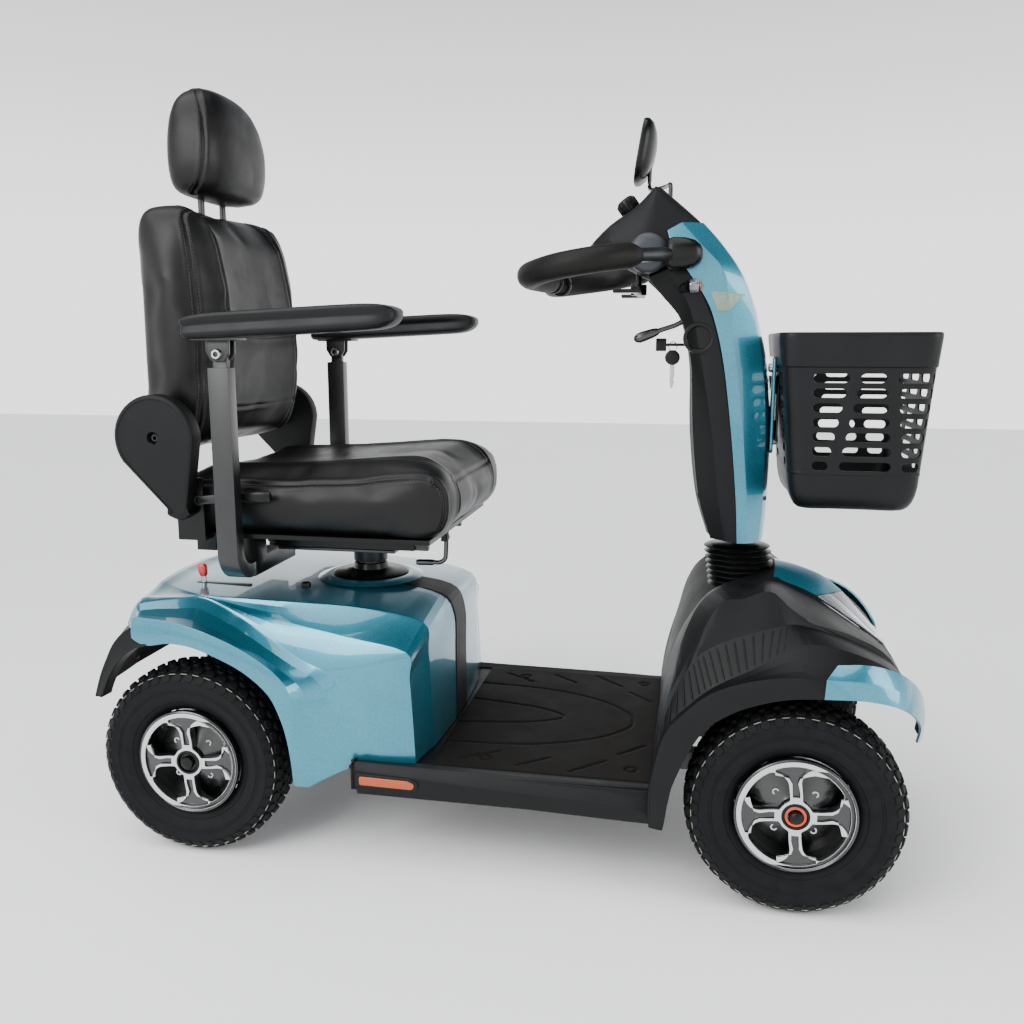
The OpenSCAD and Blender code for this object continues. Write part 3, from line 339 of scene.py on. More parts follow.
def mesh_piece(name, points, faces):
    """A new object from points in millimetres, doubles merged and all faces outwards."""
    mesh = bpy.data.meshes.new(name)
    mesh.from_pydata([tuple(float(c) * MM for c in p) for p in points], [],
        [tuple(map(int, f)) for f in faces])
    piece = placed(name, mesh)
    tidy_mesh(piece)
    return piece


@contextmanager
def edited(mesh):
    """Opens a mesh for editing and writes it back, with its faces outwards."""
    shape = bmesh.new()
    shape.from_mesh(mesh)
    yield shape
    bmesh.ops.recalc_face_normals(shape, faces=shape.faces)
    shape.to_mesh(mesh)
    shape.free()


def tidy_mesh(piece):
    """Merges doubles, drops flat faces and turns the normals outwards."""
    with edited(piece.data) as shape:
        bmesh.ops.remove_doubles(shape, verts=shape.verts, dist=2e-6)
        bmesh.ops.dissolve_degenerate(shape, dist=1e-6, edges=shape.edges)


def bake(piece):
    """Puts what the modifiers make into the mesh and removes them."""
    bpy.context.view_layer.update()
    evaluated = piece.evaluated_get(bpy.context.evaluated_depsgraph_get())
    made = bpy.data.meshes.new_from_object(evaluated)
    piece.modifiers.clear()
    piece.data = made
    return piece


def change(piece, kind, **settings):
    """Adds one modifier with its settings and bakes it."""
    modifier = piece.modifiers.new(kind.title(), kind)
    for key, value in settings.items():
        setattr(modifier, key, value)
    return bake(piece)


def soften(piece, width, segments=3, angle=28):
    """Rounds every edge sharper than the angle, as a mould does."""
    return change(piece, "BEVEL", width=width * MM, segments=segments, limit_method="ANGLE",
        angle_limit=math.radians(angle),
                  harden_normals=False, use_clamp_overlap=True)


def round_off(piece, levels=2):
    """Subdivision: the cage becomes a smooth skin."""
    return change(piece, "SUBSURF", levels=levels, render_levels=levels)


def dress(piece, material, body, slot, *stands_for, angle=38):
    """Material, smooth shading, the body it rides on and the nodes it stands for. slot is not used."""
    if not piece.data.materials:
        piece.data.materials.append(material)
    piece.data.shade_smooth()
    piece.data.set_sharp_from_angle(angle=math.radians(angle))
    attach(piece, body)
    if stands_for:
        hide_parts(*stands_for)
    return piece


def joined(name, pieces):
    """Several meshes as one, with their materials kept."""
    shape, materials = bmesh.new(), []
    for piece in pieces:
        first = len(materials)
        materials += list(piece.data.materials)
        part = bmesh.new()
        part.from_mesh(piece.data)
        for face in part.faces:
            face.material_index += first
        copy = bpy.data.meshes.new("part")
        part.to_mesh(copy)
        shape.from_mesh(copy)
        part.free()
        bpy.data.meshes.remove(copy)
    mesh = bpy.data.meshes.new(name)
    shape.to_mesh(mesh)
    shape.free()
    for material in materials:
        mesh.materials.append(material)
    whole = placed(name, mesh)
    removed(*pieces)
    return whole


def flipped(piece, name):
    """The same piece on the other side of the scooter."""
    mesh = piece.data.copy()
    mesh.transform(Matrix.Scale(-1, 4, (0, 1, 0)))
    mesh.flip_normals()
    other = placed(name, mesh)
    return other


print("piece helpers ready")


# %% Shape helpers: lofts, lathes, plates and pipes
def even_turn(count):
    """Angles in even steps round one turn."""
    return np.linspace(0, 2 * math.pi, count, endpoint=False)


def loft(name, rings, closed=True, caps=True):
    """A skin over rings of points. Each ring has the same number of points."""
    rings = np.array(rings, float)
    count, size = rings.shape[:2]
    wrap = size if closed else size - 1
    faces = [(i * size + k, i * size + (k + 1) % size, (i + 1) * size + (k + 1) % size, (i + 1) * size + k)
             for i in range(count - 1) for k in range(wrap)]
    if caps and closed:
        faces += [tuple(range(size)), tuple(range((count - 1) * size, count * size))[::-1]]
    return mesh_piece(name, rings.reshape(-1, 3), faces)


def lathe(name, profile, centre, steps=96):
    """Turns (radius, y) points about an axle along Y through centre (x, y, z)."""
    rings = [[(centre[0] + r * math.cos(a), centre[1] + y, centre[2] + r * math.sin(a))
        for a in even_turn(steps)]
             for r, y in profile]
    return loft(name, rings, caps=False)


def smooth_line(points, steps=6):
    """A smooth curve through points (Catmull-Rom)."""
    p = np.array(points, float)
    p = np.vstack([2 * p[0] - p[1], p, 2 * p[-1] - p[-2]])
    out = []
    for i in range(1, len(p) - 2):
        for t in np.arange(steps) / steps:
            square = 2 * p[i - 1] - 5 * p[i] + 4 * p[i + 1] - p[i + 2]
            cube = 3 * p[i] - p[i - 1] - 3 * p[i + 1] + p[i + 2]
            out.append(0.5 * (2 * p[i] + (p[i + 1] - p[i - 1]) * t + square * t * t + cube * t ** 3))
    return np.array(out + [p[-2]])


def pipe(name, line, radii, sides=20):
    """A tube along a line. radii is one number or one for each point."""
    line = np.array(line, float)
    radii = np.broadcast_to(radii, len(line))
    ahead = np.gradient(line, axis=0)
    ahead /= np.linalg.norm(ahead, axis=1)[:, None]
    side = np.cross(ahead[0], (0, 0, 1.0) if abs(ahead[0][2]) < 0.9 else (1.0, 0, 0))
    rings = []
    for point, direction, radius in zip(line, ahead, radii):
        side = side - direction * (side @ direction)
        side /= np.linalg.norm(side)
        up = np.cross(side, direction)
        turn = even_turn(sides)
        rings.append([point + (side * math.cos(a) + up * math.sin(a)) * radius for a in turn])
    return loft(name, rings)


def plate(name, outline, y0, y1, edge=1.5, segments=3):
    """A flat plate: an outline of (x, z) points, from y0 to y1, with its edges rounded."""
    rings = [[(x, y, z) for x, z in outline] for y in (y0, y1)]
    piece = loft(name, rings)
    return soften(piece, edge, segments) if edge else piece


def rounded_outline(points, radii, steps=6):
    """A polygon of 2D points with each corner rounded."""
    points = [np.array(p, float) for p in points]
    radii = np.broadcast_to(radii, len(points))
    out = []
    for i, (p, radius) in enumerate(zip(points, radii)):
        a, b = points[i - 1] - p, points[(i + 1) % len(points)] - p
        la, lb = np.linalg.norm(a), np.linalg.norm(b)
        a, b = a / la, b / lb
        half = math.acos(max(-1.0, min(1.0, float(a @ b)))) / 2
        cut = min(radius / math.tan(half), la * 0.48, lb * 0.48)
        start, end = p + a * cut, p + b * cut
        for t in np.linspace(0, 1, steps):
            out.append((1 - t) ** 2 * start + 2 * t * (1 - t) * p + t * t * end)
    return out


def disc(name, centre, radius, y0, y1, edge=1.0, steps=48):
    """A short round bar along Y with rounded ends."""
    outline = [(centre[0] + radius * math.cos(a), centre[1] + radius * math.sin(a))
               for a in even_turn(steps)]
    return plate(name, outline, y0, y1, edge, 2)


print("shape helpers ready")


# %% [markdown]
# ## Geometry Nodes for what repeats
# A tyre has some three hundred tread blocks, a knob has its ribs and a seam its stitches. Placing them
# by hand is slow and easy to get wrong. Two small node trees do it: one turns copies of a piece about
# an axle, the other sets copies along a line. Both end in Realize Instances, so the copies are real faces.

# %% Two node trees that repeat a piece
def tree_with(name, inputs):
    """A geometry node group with named inputs, and its input and output nodes."""
    group = bpy.data.node_groups.new(name, "GeometryNodeTree")
    group.interface.new_socket("Geometry", in_out="OUTPUT", socket_type="NodeSocketGeometry")
    for label, kind in inputs:
        group.interface.new_socket(label, in_out="INPUT", socket_type=f"NodeSocket{kind}")
    return group, node(group, "NodeGroupInput").outputs, node(group, "NodeGroupOutput")


def end_tree(group, instances, material, out):
    """Every tree ends the same way: copies made real, then the material."""
    real = node(group, "GeometryNodeRealizeInstances", {"Geometry": instances})
    node(group, "GeometryNodeSetMaterial", {"Geometry": real.outputs[0], "Material": material},
        to=out.inputs[0])
    return group


def round_axle_tree():
    """Copies of Piece, turned in even steps about an axle along Y through Centre."""
    group, given, out = tree_with("round_an_axle", [("Piece", "Object"), ("Count", "Int"), ("Phase", "Float"),
                                                    ("Centre", "Vector"), ("Material", "Material")])
    index = node(group, "GeometryNodeInputIndex").outputs[0]
    share = node(group, "ShaderNodeMath", {0: index, 1: given["Count"]}, operation="DIVIDE").outputs[0]
    moved = node(group, "ShaderNodeMath", {0: share, 1: given["Phase"]}, operation="ADD").outputs[0]
    angle = node(group, "ShaderNodeMath", {0: moved}, {1: 2 * math.pi}, operation="MULTIPLY").outputs[0]
    turn = node(group, "ShaderNodeCombineXYZ", {"Y": angle}).outputs[0]
    points = node(group, "GeometryNodePoints", {"Count": given["Count"],
        "Position": given["Centre"]}).outputs[0]
    shape = node(group, "GeometryNodeObjectInfo", {"Object": given["Piece"]}).outputs["Geometry"]
    copies = node(group, "GeometryNodeInstanceOnPoints", {"Points": points, "Instance": shape,
        "Rotation": turn})
    return end_tree(group, copies.outputs[0], given["Material"], out)


def along_line_tree():
    """Copies of Piece along the line, Spacing apart, each turned to follow it."""
    group, given, out = tree_with("along_a_line", [("Geometry", "Geometry"), ("Piece", "Object"),
        ("Spacing", "Float"),
                                                   ("Material", "Material")])
    curve = node(group, "GeometryNodeMeshToCurve", {"Mesh": given["Geometry"]}).outputs[0]
    points = node(group, "GeometryNodeCurveToPoints", {"Curve": curve, "Length": given["Spacing"]},
        mode="LENGTH")
    shape = node(group, "GeometryNodeObjectInfo", {"Object": given["Piece"]}).outputs["Geometry"]
    copies = node(group, "GeometryNodeInstanceOnPoints",
                  {"Points": points.outputs["Points"], "Instance": shape,
                  "Rotation": points.outputs["Rotation"]})
    return end_tree(group, copies.outputs[0], given["Material"], out)


ROUND_AXLE, ALONG_LINE = round_axle_tree(), along_line_tree()


def grow(name, group, base=None, **inputs):
    """Runs a node tree and returns its result as a plain mesh."""
    holder = base or placed(name, bpy.data.meshes.new(name))
    modifier = holder.modifiers.new("Grow", "NODES")
    modifier.node_group = group
    for item in group.interface.items_tree:
        if item.in_out == "INPUT" and item.name in inputs:
            modifier[item.identifier] = inputs[item.name]
    return bake(holder)


def stitches(name, line, material, spacing=6.0, length=4.0, radius=0.55):
    """Thread along a seam: short rounded stitches, sunk half into the cover."""
    pattern = pipe("stitch_pattern", [(0, 0, t) for t in (-length / 2, -length / 3, length / 3, length / 2)],
                   [radius * 0.5, radius, radius, radius * 0.5], sides=6)
    mesh = bpy.data.meshes.new(name)
    mesh.from_pydata([tuple(float(c) * MM for c in p) for p in line],
        [(i, i + 1) for i in range(len(line) - 1)], [])
    holder = placed(name, mesh)
    made = grow(name, ALONG_LINE, holder, Piece=pattern, Spacing=spacing * MM, Material=material)
    removed(pattern)
    return made


def round_axle(name, pattern, count, centre, material, phase=0.0):
    """Turns copies of a pattern piece, made about the origin, round an axle along Y."""
    return grow(name, ROUND_AXLE, Piece=pattern, Count=count, Phase=phase, Centre=[c * MM for c in centre],
        Material=material)


print("node trees:", ROUND_AXLE.name, ALONG_LINE.name)


# %% [markdown]
# ## The wheels
# Each wheel is a 340 mm pneumatic tyre on a cast rim with a machined face. The tyre's carcass is a lathe
# shape. Its tread is copies of small bevelled blocks: five staggered rows over the crown and a row of
# shoulder lugs on each side. The rim face is a filled curve, so its windows are simply splines inside it.

# %% Wheel sizes, read from the CAD
def middle(*nodes):
    """The middle of some CAD nodes' box, in millimetres."""
    corners = [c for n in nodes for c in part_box(n)]
    low, high = [Vector(map(f, zip(*corners))) for f in (min, max)]
    return (low + high) / 2 / MM, low / MM, high / MM


WHEELS = [(f"{end}_{side}", middle(f"{end}_tyre_{side}")[0], 1 if side == "left" else -1,
    f"{end}_wheel_{side}")
          for end in ("rear", "front") for side in ("left", "right")]
TYRE_R = (middle("rear_tyre_left")[2][2] - middle("rear_tyre_left")[1][2]) / 2
print(f"tyre radius {TYRE_R:.1f} mm, axles at x {WHEELS[0][1][0]:.0f} and {WHEELS[2][1][0]:.0f}")


# %% The tyre's carcass and its tread
def tread_block(name, size, height, radius, across, tilt=0.0):
    """One bevelled lug, made at the top of the tyre: size is along the tread and across it."""
    along, wide = size[0] / 2, size[1] / 2
    base = [(-along, -wide * 0.45), (-along * 0.55, -wide), (along * 0.55, -wide), (along, -wide * 0.45),
            (along, wide * 0.45), (along * 0.55, wide), (-along * 0.55, wide), (-along, wide * 0.45)]
    rings = [[(x * s, y * s, z) for x, y in base] for z, s in ((-2.5, 1.0), (height - 1.2, 0.94),
        (height, 0.8))]
    block = loft(name, rings)
    turn = Matrix.Rotation(math.radians(tilt), 4, "X")
    block.data.transform(Matrix.Translation(Vector((0, across, radius)) * MM) @ turn)
    return block


ROWS = [((15, 14), 4.2, TYRE_R - 4.2, 0, 0, 46, 0), ((15, 13), 4.2, TYRE_R - 4.4, 15.5, -4, 46, 0.5),
    ((15, 13), 4.2, TYRE_R - 4.4, -15.5, 4, 46, 0.5),
        ((16, 14), 4.4, TYRE_R - 8.5, 30.5, -24, 46, 0), ((16, 14), 4.4, TYRE_R - 8.5, -30.5, 24, 46, 0),
        ((17, 15), 3.6, TYRE_R - 18.0, 42.5, -58, 46, 0.5), ((17, 15), 3.6, TYRE_R - 18.0, -42.5, 58, 46,
        0.5)]
CARCASS = [(96, 33), (100, 37), (104, 38.5), (112, 43), (122, 46.2), (134, 47.6), (141, 47.8), (143, 48.6),
    (146, 48.4), (147, 47.2),
           (151, 45.6), (155, 42.0), (160, 35.5), (163.5, 27), (165.2, 15), (165.8, 0)]


def make_tyre(name, centre):
    """The carcass with its parting line, and every tread row on it."""
    profile = CARCASS + [(r, -y) for r, y in CARCASS[-2::-1]]
    inner = [(92, -30), (90, 0), (92, 30), CARCASS[0]]
    parts = [lathe("carcass", profile + inner, centre, 120)]
    for size, height, radius, across, tilt, count, shift in ROWS:
        block = tread_block("block", size, height, radius, across, tilt)
        parts.append(round_axle("row", block, count, centre, tyre_black, shift / count))
        removed(block)
    for side in (-1, 1):
        parts.append(lathe("parting_line", [(r, side * y) for r,
        y in ((157.8, 41.4), (158.8, 42.0), (159.0, 41.0), (158.2, 40.2))], centre, 96))
        for r in (108.0, 127.0, 131.0):
            y = float(np.interp(r, [p[0] for p in CARCASS[:8]], [p[1] for p in CARCASS[:8]]))
            parts.append(lathe("moulded_ring", [(r - 1, side * (y - 0.6)), (r, side * (y + 0.7)),
                (r + 1, side * (y - 0.4)), (r, side * (y - 1.5))], centre, 96))
    for part in parts:
        painted(chalk if part.name.startswith("parting") else tyre_black, part)
    return joined(name, parts)


chalk = powder_coat("chalky_mould_line", "#8d8a80", "#a9a598", 0.8, 0.0, 0.0)
for label, centre, side, body in WHEELS:
    tyre = dress(make_tyre(f"{label}_tyre_tread", centre), tyre_black, body, "tyre_rubber",
                 f"{label.replace('_', '_tyre_')}", angle=30)
print(f"last tyre has {len(tyre.data.polygons)} faces")


# %% The rim: machined face, black casting, bolts and cap
def spoke_edge(side, start, end):
    """One edge of a spoke from the hub outwards: slim, then flared and slightly twisted towards the rim."""
    out = []
    for r in np.linspace(start, end, 12):
        swell = max(0.0, (r - 52) / (end - 52))
        half = 9.5 + 20 * swell ** 2.2
        out.append((r, 0.12 * max(0.0, (r - 30) / 50) + side * math.asin(min(0.95, half / r))))
    return out


def rim_windows():
    """The outlines cut in the face, as lists of (radius, angle): four windows, four recesses and the hub."""
    quarter = math.pi / 2
    windows = []
    for k in range(4):
        first = [(r, a + k * quarter) for r, a in spoke_edge(1, 27, 79)]
        second = [(r, a + (k + 1) * quarter) for r, a in spoke_edge(-1, 27, 79)]
        low = [(26, a) for a in np.linspace(second[0][1] - 0.12, first[0][1] + 0.12, 4)]
        high = [(80.5, a) for a in np.linspace(first[-1][1] + 0.05, second[-1][1] - 0.05, 6)]
        windows.append(first + high + second[::-1] + low)
    recesses = []
    for k in range(4):
        left = [(32, -0.16), (40, -0.12), (54, -0.02), (63, -0.06), (69, -0.22), (74, -0.34)]
        top = [(81.5, a) for a in np.linspace(-0.30, 0.42, 6)]
        right = [(74, 0.46), (69, 0.34), (63, 0.2), (54, 0.14), (40, 0.16), (32, 0.18)]
        recesses.append([(r, a + k * quarter) for r, a in left + top + right])
    hub = [(17.5, a) for a in even_turn(32)]
    return windows, recesses, hub


def filled_curve(name, rings, **settings):
    """The mesh of a filled 2D curve: the first ring is the outline, the others are holes in it."""
    curve = bpy.data.curves.new(name, "CURVE")
    curve.dimensions, curve.fill_mode = "2D", "BOTH"
    for key, value in settings.items():
        setattr(curve, key, value)
    for ring in rings:
        spline = curve.splines.new("POLY")
        spline.points.add(len(ring) - 1)
        spline.use_cyclic_u = True
        for point, (x, y) in zip(spline.points, ring):
            point.co = (x * MM, y * MM, 0, 1)
    holder = placed(name, curve)
    bpy.context.view_layer.update()
    mesh = bpy.data.meshes.new_from_object(holder.evaluated_get(bpy.context.evaluated_depsgraph_get()))
    removed(holder)
    return mesh


def filled_face(name, outer, holes, depth, edge):
    """A round bevelled face in the XY plane, with holes given as (radius, angle)."""
    rings = [[(outer, a) for a in even_turn(96)]] + holes
    rings = [[(r * math.cos(a), r * math.sin(a)) for r, a in ring] for ring in rings]
    piece = placed(name, filled_curve(name, rings, extrude=depth / 2 * MM, bevel_depth=edge * MM,
        bevel_resolution=1, offset=-edge * MM))
    tidy_mesh(piece)
    return piece


def set_upright(piece, centre, y):
    """Stands a face made in the XY plane on the wheel: it looks outwards along Y."""
    place = Matrix.Translation(Vector((centre[0], y, centre[2])) * MM) @ Matrix.Rotation(math.radians(90), 4,
        "X")
    piece.data.transform(place)
    return piece


def round_hub(name, profile, centre, side, material):
    """Four copies of a turned part, 42 mm from the axle, between the spokes."""
    pattern = loft(name, [[(42 + r * math.cos(a), -y, r * math.sin(a)) for a in even_turn(24)] for r,
        y in profile])
    if side > 0:
        pattern.data.transform(Matrix.Scale(-1, 4, (0, 1, 0)))
    copies = round_axle(name + "s", pattern, 4, centre, material, 0.125)
    removed(pattern)
    return copies


def make_rim(label, centre, side, body):
    """The parts of one rim. side is +1 for the rider's left."""
    windows, recesses, hub = rim_windows()
    out = centre[1] + side * 45.5
    face = set_upright(filled_face("face", 89, windows + recesses + [hub], 2.0, 0.5), centre,
        out - side * 1.2)
    back = set_upright(filled_face("back", 88.5, windows, 12.0, 1.2), centre, out - side * 11)
    barrel = lathe("barrel", [(88.8, side * 44.5), (90.6, side * 46.2), (92.6, side * 45.0),
        (92.4, side * 36), (88, side * 33), (84, side * 20), (84, side * -38),
                              (90, side * -42), (86, side * -44), (78, side * -40), (78, side * 8),
                              (30, side * 12), (22, side * 26), (24, side * 34), (30, side * 30),
                              (78, side * 14), (82, side * 30), (85.5, side * 42)], centre)
    for part, material in ((face, machined), (back, gloss_black), (barrel, gloss_black)):
        painted(material, part)
    place = (centre[0], out - side * 27, centre[2])
    bolts = round_hub("bolt", ((6.2, 0), (6.2, 7), (5.4, 8), (3.2, 8), (3.0, 4.5), (0.2, 4.5)), place, side,
        zinc)
    seats = round_hub("seat", ((12, -6), (11, 1.5), (9, 2.5), (7, 1.5), (0.3, 1.5)), place, side, gloss_black)
    profiles = {"cap": ((22, 20), (22.4, 44), (21.5, 46.5), (18, 47), (17, 45.5), (16.5, 40), (0.3, 40))}
    if "front" in label:
        profiles["ring"] = ((16.6, 38), (16.6, 46.0), (15.6, 46.8), (12.5, 46.8), (12, 44), (12, 38))
        profiles["nut"] = ((10.5, 38), (10.5, 47.5), (9.0, 52), (5, 55), (0.3, 56))
    else:
        profiles["ring"] = ((16.8, 38), (16.8, 43.5), (15.8, 44), (13, 44), (12.4, 42), (12, 38))
        profiles["nut"] = ((11.5, 38), (11.5, 48), (10.5, 51), (6, 52.5), (0.3, 52.8))
    cap, ring, nut = [lathe(name, [(r, side * y) for r, y in profile], centre, 48) for name,
        profile in profiles.items()]
    painted(smooth_black, cap, nut)
    painted(orange_ring if "front" in label else smooth_black, ring)
    rim = joined(f"{label}_rim_casting", [face, back, barrel])
    dress(rim, machined, body, "rim_alloy", label.replace("_", "_rim_"), angle=30)
    hub_set = joined(f"{label}_hub_set", [bolts, seats, cap, ring, nut])
    dress(hub_set, smooth_black, body, "hub_black", label.replace("_", "_hub_"), angle=30)
    return rim


for label, centre, side, body in WHEELS:
    rim = make_rim(label, centre, side, body)
print(f"last rim has {len(rim.data.polygons)} faces")


# %% [markdown]
# ## Upholstery
# The seat, the back and the headrest are foam blocks in sewn vinyl. Each starts as a lofted block a little
# smaller than the real one. Cloth simulation then blows it up from inside, as the foam does to its tight
# cover. The seams are pressed in afterwards along guide lines, and stitches are laid beside them.

# %% Blow a block up to a cushion, then sew it
def stuff(piece, cap_mm, voxel_mm=6.0, pressure=2.5):
    """Cloth under pressure: a voxel mesh swells for twenty frames, no point further than the cap."""
    change(piece, "REMESH", mode="VOXEL", voxel_size=voxel_mm * MM, use_smooth_shade=True)
    rest = np.array([v.co for v in piece.data.vertices], float)
    cloth = piece.modifiers.new("Cloth", "CLOTH")
    cloth.settings.use_pressure = True
    cloth.settings.uniform_pressure_force = pressure
    cloth.settings.effector_weights.gravity = 0.0
    cloth.settings.quality = 4
    cloth.settings.bending_stiffness = 2.0
    scene = bpy.context.scene
    for number in range(1, 21):
        scene.frame_set(number)
    evaluated = piece.evaluated_get(bpy.context.evaluated_depsgraph_get())
    moved = np.array([v.co for v in evaluated.data.vertices], float) - rest
    piece.modifiers.clear()
    scene.frame_set(1)
    length = np.linalg.norm(moved, axis=1)
    moved *= (np.minimum(length, cap_mm * MM) / np.maximum(length, 1e-9))[:, None]
    piece.data.vertices.foreach_set("co", (rest + moved).ravel())
    print(f"{piece.name}: swelled {length.max() / MM:.1f} mm, capped at {cap_mm}")
    change(piece, "SMOOTH", factor=0.6, iterations=22)
    return round_off(piece, 1)


def surface_line(piece, guide, lift=0.0, steps=8):
    """A guide line laid on a piece's surface, lifted off it by some millimetres."""
    tree = bpy_bvh(piece)
    out = []
    for point in smooth_line(guide, steps):
        place, normal, _, _ = tree.find_nearest(Vector(point) * MM)
        out.append(np.array(place + normal * lift * MM) / MM)
    return np.array(out)


def bpy_bvh(piece):
    """A search tree of a piece's faces."""
    return BVHTree.FromPolygons([v.co.copy() for v in piece.data.vertices],
        [tuple(f.vertices) for f in piece.data.polygons])


def distance_to(points, line):
    """How far each point is from a line, in two or three dimensions."""
    best = np.full(len(points), 1e9)
    for a, b in zip(line[:-1], line[1:]):
        ab = b - a
        t = np.clip(((points - a) @ ab) / max(1e-9, ab @ ab), 0, 1)
        best = np.minimum(best, np.linalg.norm(points - (a + t[:, None] * ab), axis=1))
    return best


def press_seams(piece, guides, depth=2.2, width=5.0, roll=1.2):
    """Presses a groove along each guide, with the cover rolling up a little on both sides of it."""
    points = np.array([v.co for v in piece.data.vertices], float) / MM
    normals = np.array([v.normal for v in piece.data.vertices], float)
    move = np.zeros(len(points))
    for guide in guides:
        away = distance_to(points, surface_line(piece, guide))
        move -= depth * np.exp(-(away / (width * 0.55)) ** 2)
        move += roll * np.exp(-((away - width * 1.5) / (width * 0.8)) ** 2)
    piece.data.vertices.foreach_set("co", ((points + normals * move[:, None]) * MM).ravel())
    piece.data.update()
    return piece


def both(guide):
    """A guide and its copy on the other side."""
    return [guide, [tuple(np.array(p) * FLIP) for p in guide]]


def squircle(half_a, half_b, count=48, power=4.5):
    """A rounded rectangle: count points, anticlockwise."""
    out = []
    for t in even_turn(count):
        c, s = math.cos(t), math.sin(t)
        out.append((half_a * math.copysign(abs(c) ** (2 / power), c),
            half_b * math.copysign(abs(s) ** (2 / power), s)))
    return out


print("upholstery helpers ready")


# %% Seat cushion
SEAT_STATIONS = [(-542, 584, 636, 200), (-539, 572, 650, 215), (-530, 563, 657, 221), (-470, 561, 660, 222),
    (-400, 561, 662, 223),
                 (-320, 560, 666, 223), (-240, 558, 672, 223), (-160, 556, 679, 222), (-110, 556, 681, 221),
                 (-80, 562, 675, 218),
                 (-64, 576, 660, 210), (-58, 596, 638, 196)]


def seat_ring(x, low, high, half):
    """A section of the seat: square sides, a crowned top with soft side bolsters."""
    ring = []
    for y, z in squircle(half, (high - low) / 2, 64, 7.5):
        rise = 7 * math.exp(-((abs(y) - 165) / 38) ** 2) - 3 * math.exp(-(y / 70) ** 2) if z > 0 else 0
        ring.append((x, y, (low + high) / 2 + z + rise))
    return ring


seat = stuff(loft("seat_cushion_cover", [seat_ring(*s) for s in SEAT_STATIONS]), 10)
side_top = [(-530, 222, 650), (-450, 228, 664), (-300, 230, 668), (-170, 230, 676), (-105, 224, 676),
    (-72, 214, 660)]
front_corner = [(-76, 214, 664), (-60, 208, 640), (-58, 206, 610), (-66, 208, 575)]
top_inset = [(-530, 142, 668), (-400, 146, 674), (-250, 148, 682), (-130, 146, 690), (-80, 142, 680),
    (-58, 138, 650), (-60, 136, 600)]
front_fold = [(-64, -136, 655), (-62, 0, 657), (-64, 136, 655)]
seat_guides = both(side_top) + both(front_corner) + both(top_inset) + [front_fold]
press_seams(seat, seat_guides)
dress(seat, vinyl, "seat", "vinyl", "seat_cushion", angle=80)
print(f"seat {len(seat.data.polygons)} faces")


# %% Back cushion
BACK_STATIONS = [(704, -604, -540, 168), (707, -616, -522, 188), (716, -620, -506, 196),
    (745, -621, -494, 199), (800, -621, -482, 199),
                 (860, -621, -476, 199), (930, -620, -478, 199), (1000, -619, -487, 198),
                 (1060, -617, -499, 195), (1096, -613, -510, 189),
                 (1114, -606, -524, 176), (1121, -594, -542, 152)]


def back_ring(z, rear, front, half):
    """A section of the back: a flat rear, and a front dished between two side bolsters."""
    ring = []
    for x, y in squircle((front - rear) / 2, half, 64, 6.5):
        rise = 0.0
        if x > 0:
            rise = 9 * math.exp(-((abs(y) - 158) / 30) ** 2) - 5 * math.exp(-(y / 95) ** 4)
        ring.append(((front + rear) / 2 + x + rise * min(1, max(0, x / 20)), y, z))
    return ring


back = stuff(loft("back_cushion_cover", [back_ring(*s) for s in BACK_STATIONS]), 9)
back_edge = [(-520, 150, 1112), (-516, 182, 1098), (-502, 196, 1060), (-490, 202, 980), (-482, 203, 890),
    (-486, 203, 800), (-500, 202, 735), (-520, 190, 708)]
inset_side = [(-548, 128, 1120), (-515, 130, 1104), (-496, 131, 1050), (-484, 132, 960), (-480, 134, 900),
    (-478, 138, 840), (-486, 142, 770), (-510, 146, 712)]
rung_high = [(-480, -133, 905), (-484, 0, 900), (-480, 133, 905)]
rung_low = [(-486, -142, 775), (-490, 0, 768), (-486, 142, 775)]
back_guides = both(back_edge) + both(inset_side) + [rung_high, rung_low]
press_seams(back, back_guides)
dress(back, vinyl, "back", "vinyl", "back_cushion", angle=80)
print(f"back {len(back.data.polygons)} faces")


# %% Headrest on two steel stalks
HEAD_STATIONS = [(1143, -572, -512, 72), (1146, -588, -500, 92), (1156, -597, -489, 106),
    (1190, -600, -482, 113), (1235, -599, -481, 113),
                 (1275, -595, -488, 106), (1305, -588, -500, 92), (1322, -578, -514, 72),
                 (1332, -566, -534, 44)]


def head_ring(z, rear, front, half):
    """A section of the headrest: egg-shaped, fuller at the front."""
    ring = []
    for x, y in squircle((front - rear) / 2, half, 56, 4.2):
        ring.append(((front + rear) / 2 + x - 6 * (y / max(1, half)) ** 2 * (x > 0), y, z))
    return ring


headrest = stuff(loft("headrest_cover", [head_ring(*s) for s in HEAD_STATIONS]), 8)
head_edge = [(-548, 62, 1336), (-528, 92, 1312), (-512, 110, 1272), (-506, 120, 1225), (-512, 120, 1185),
    (-530, 108, 1152), (-550, 88, 1142)]
press_seams(headrest, both(head_edge))
dress(headrest, vinyl, "headrest", "vinyl", "headrest", angle=80)
stalks = joined("headrest_stalks", [pipe("stalk", [(-560, y, z) for z in (962, 1020, 1080, 1140, 1165)], 6,
    24) for y in (-40, 40)])
dress(stalks, satin_black, "headrest", "frame_paint")
print(f"headrest {len(headrest.data.polygons)} faces")


# %% Stitches beside the seams
thread = powder_coat("black_polyester_thread", "#26231f", "#332e28", 0.6, 0.0, 0.0)


def beside(piece, guide, shift):
    """A stitch line on the surface, shifted a few millimetres from a seam."""
    return surface_line(piece, [tuple(np.array(p) + np.array(shift)) for p in guide], 0.15)


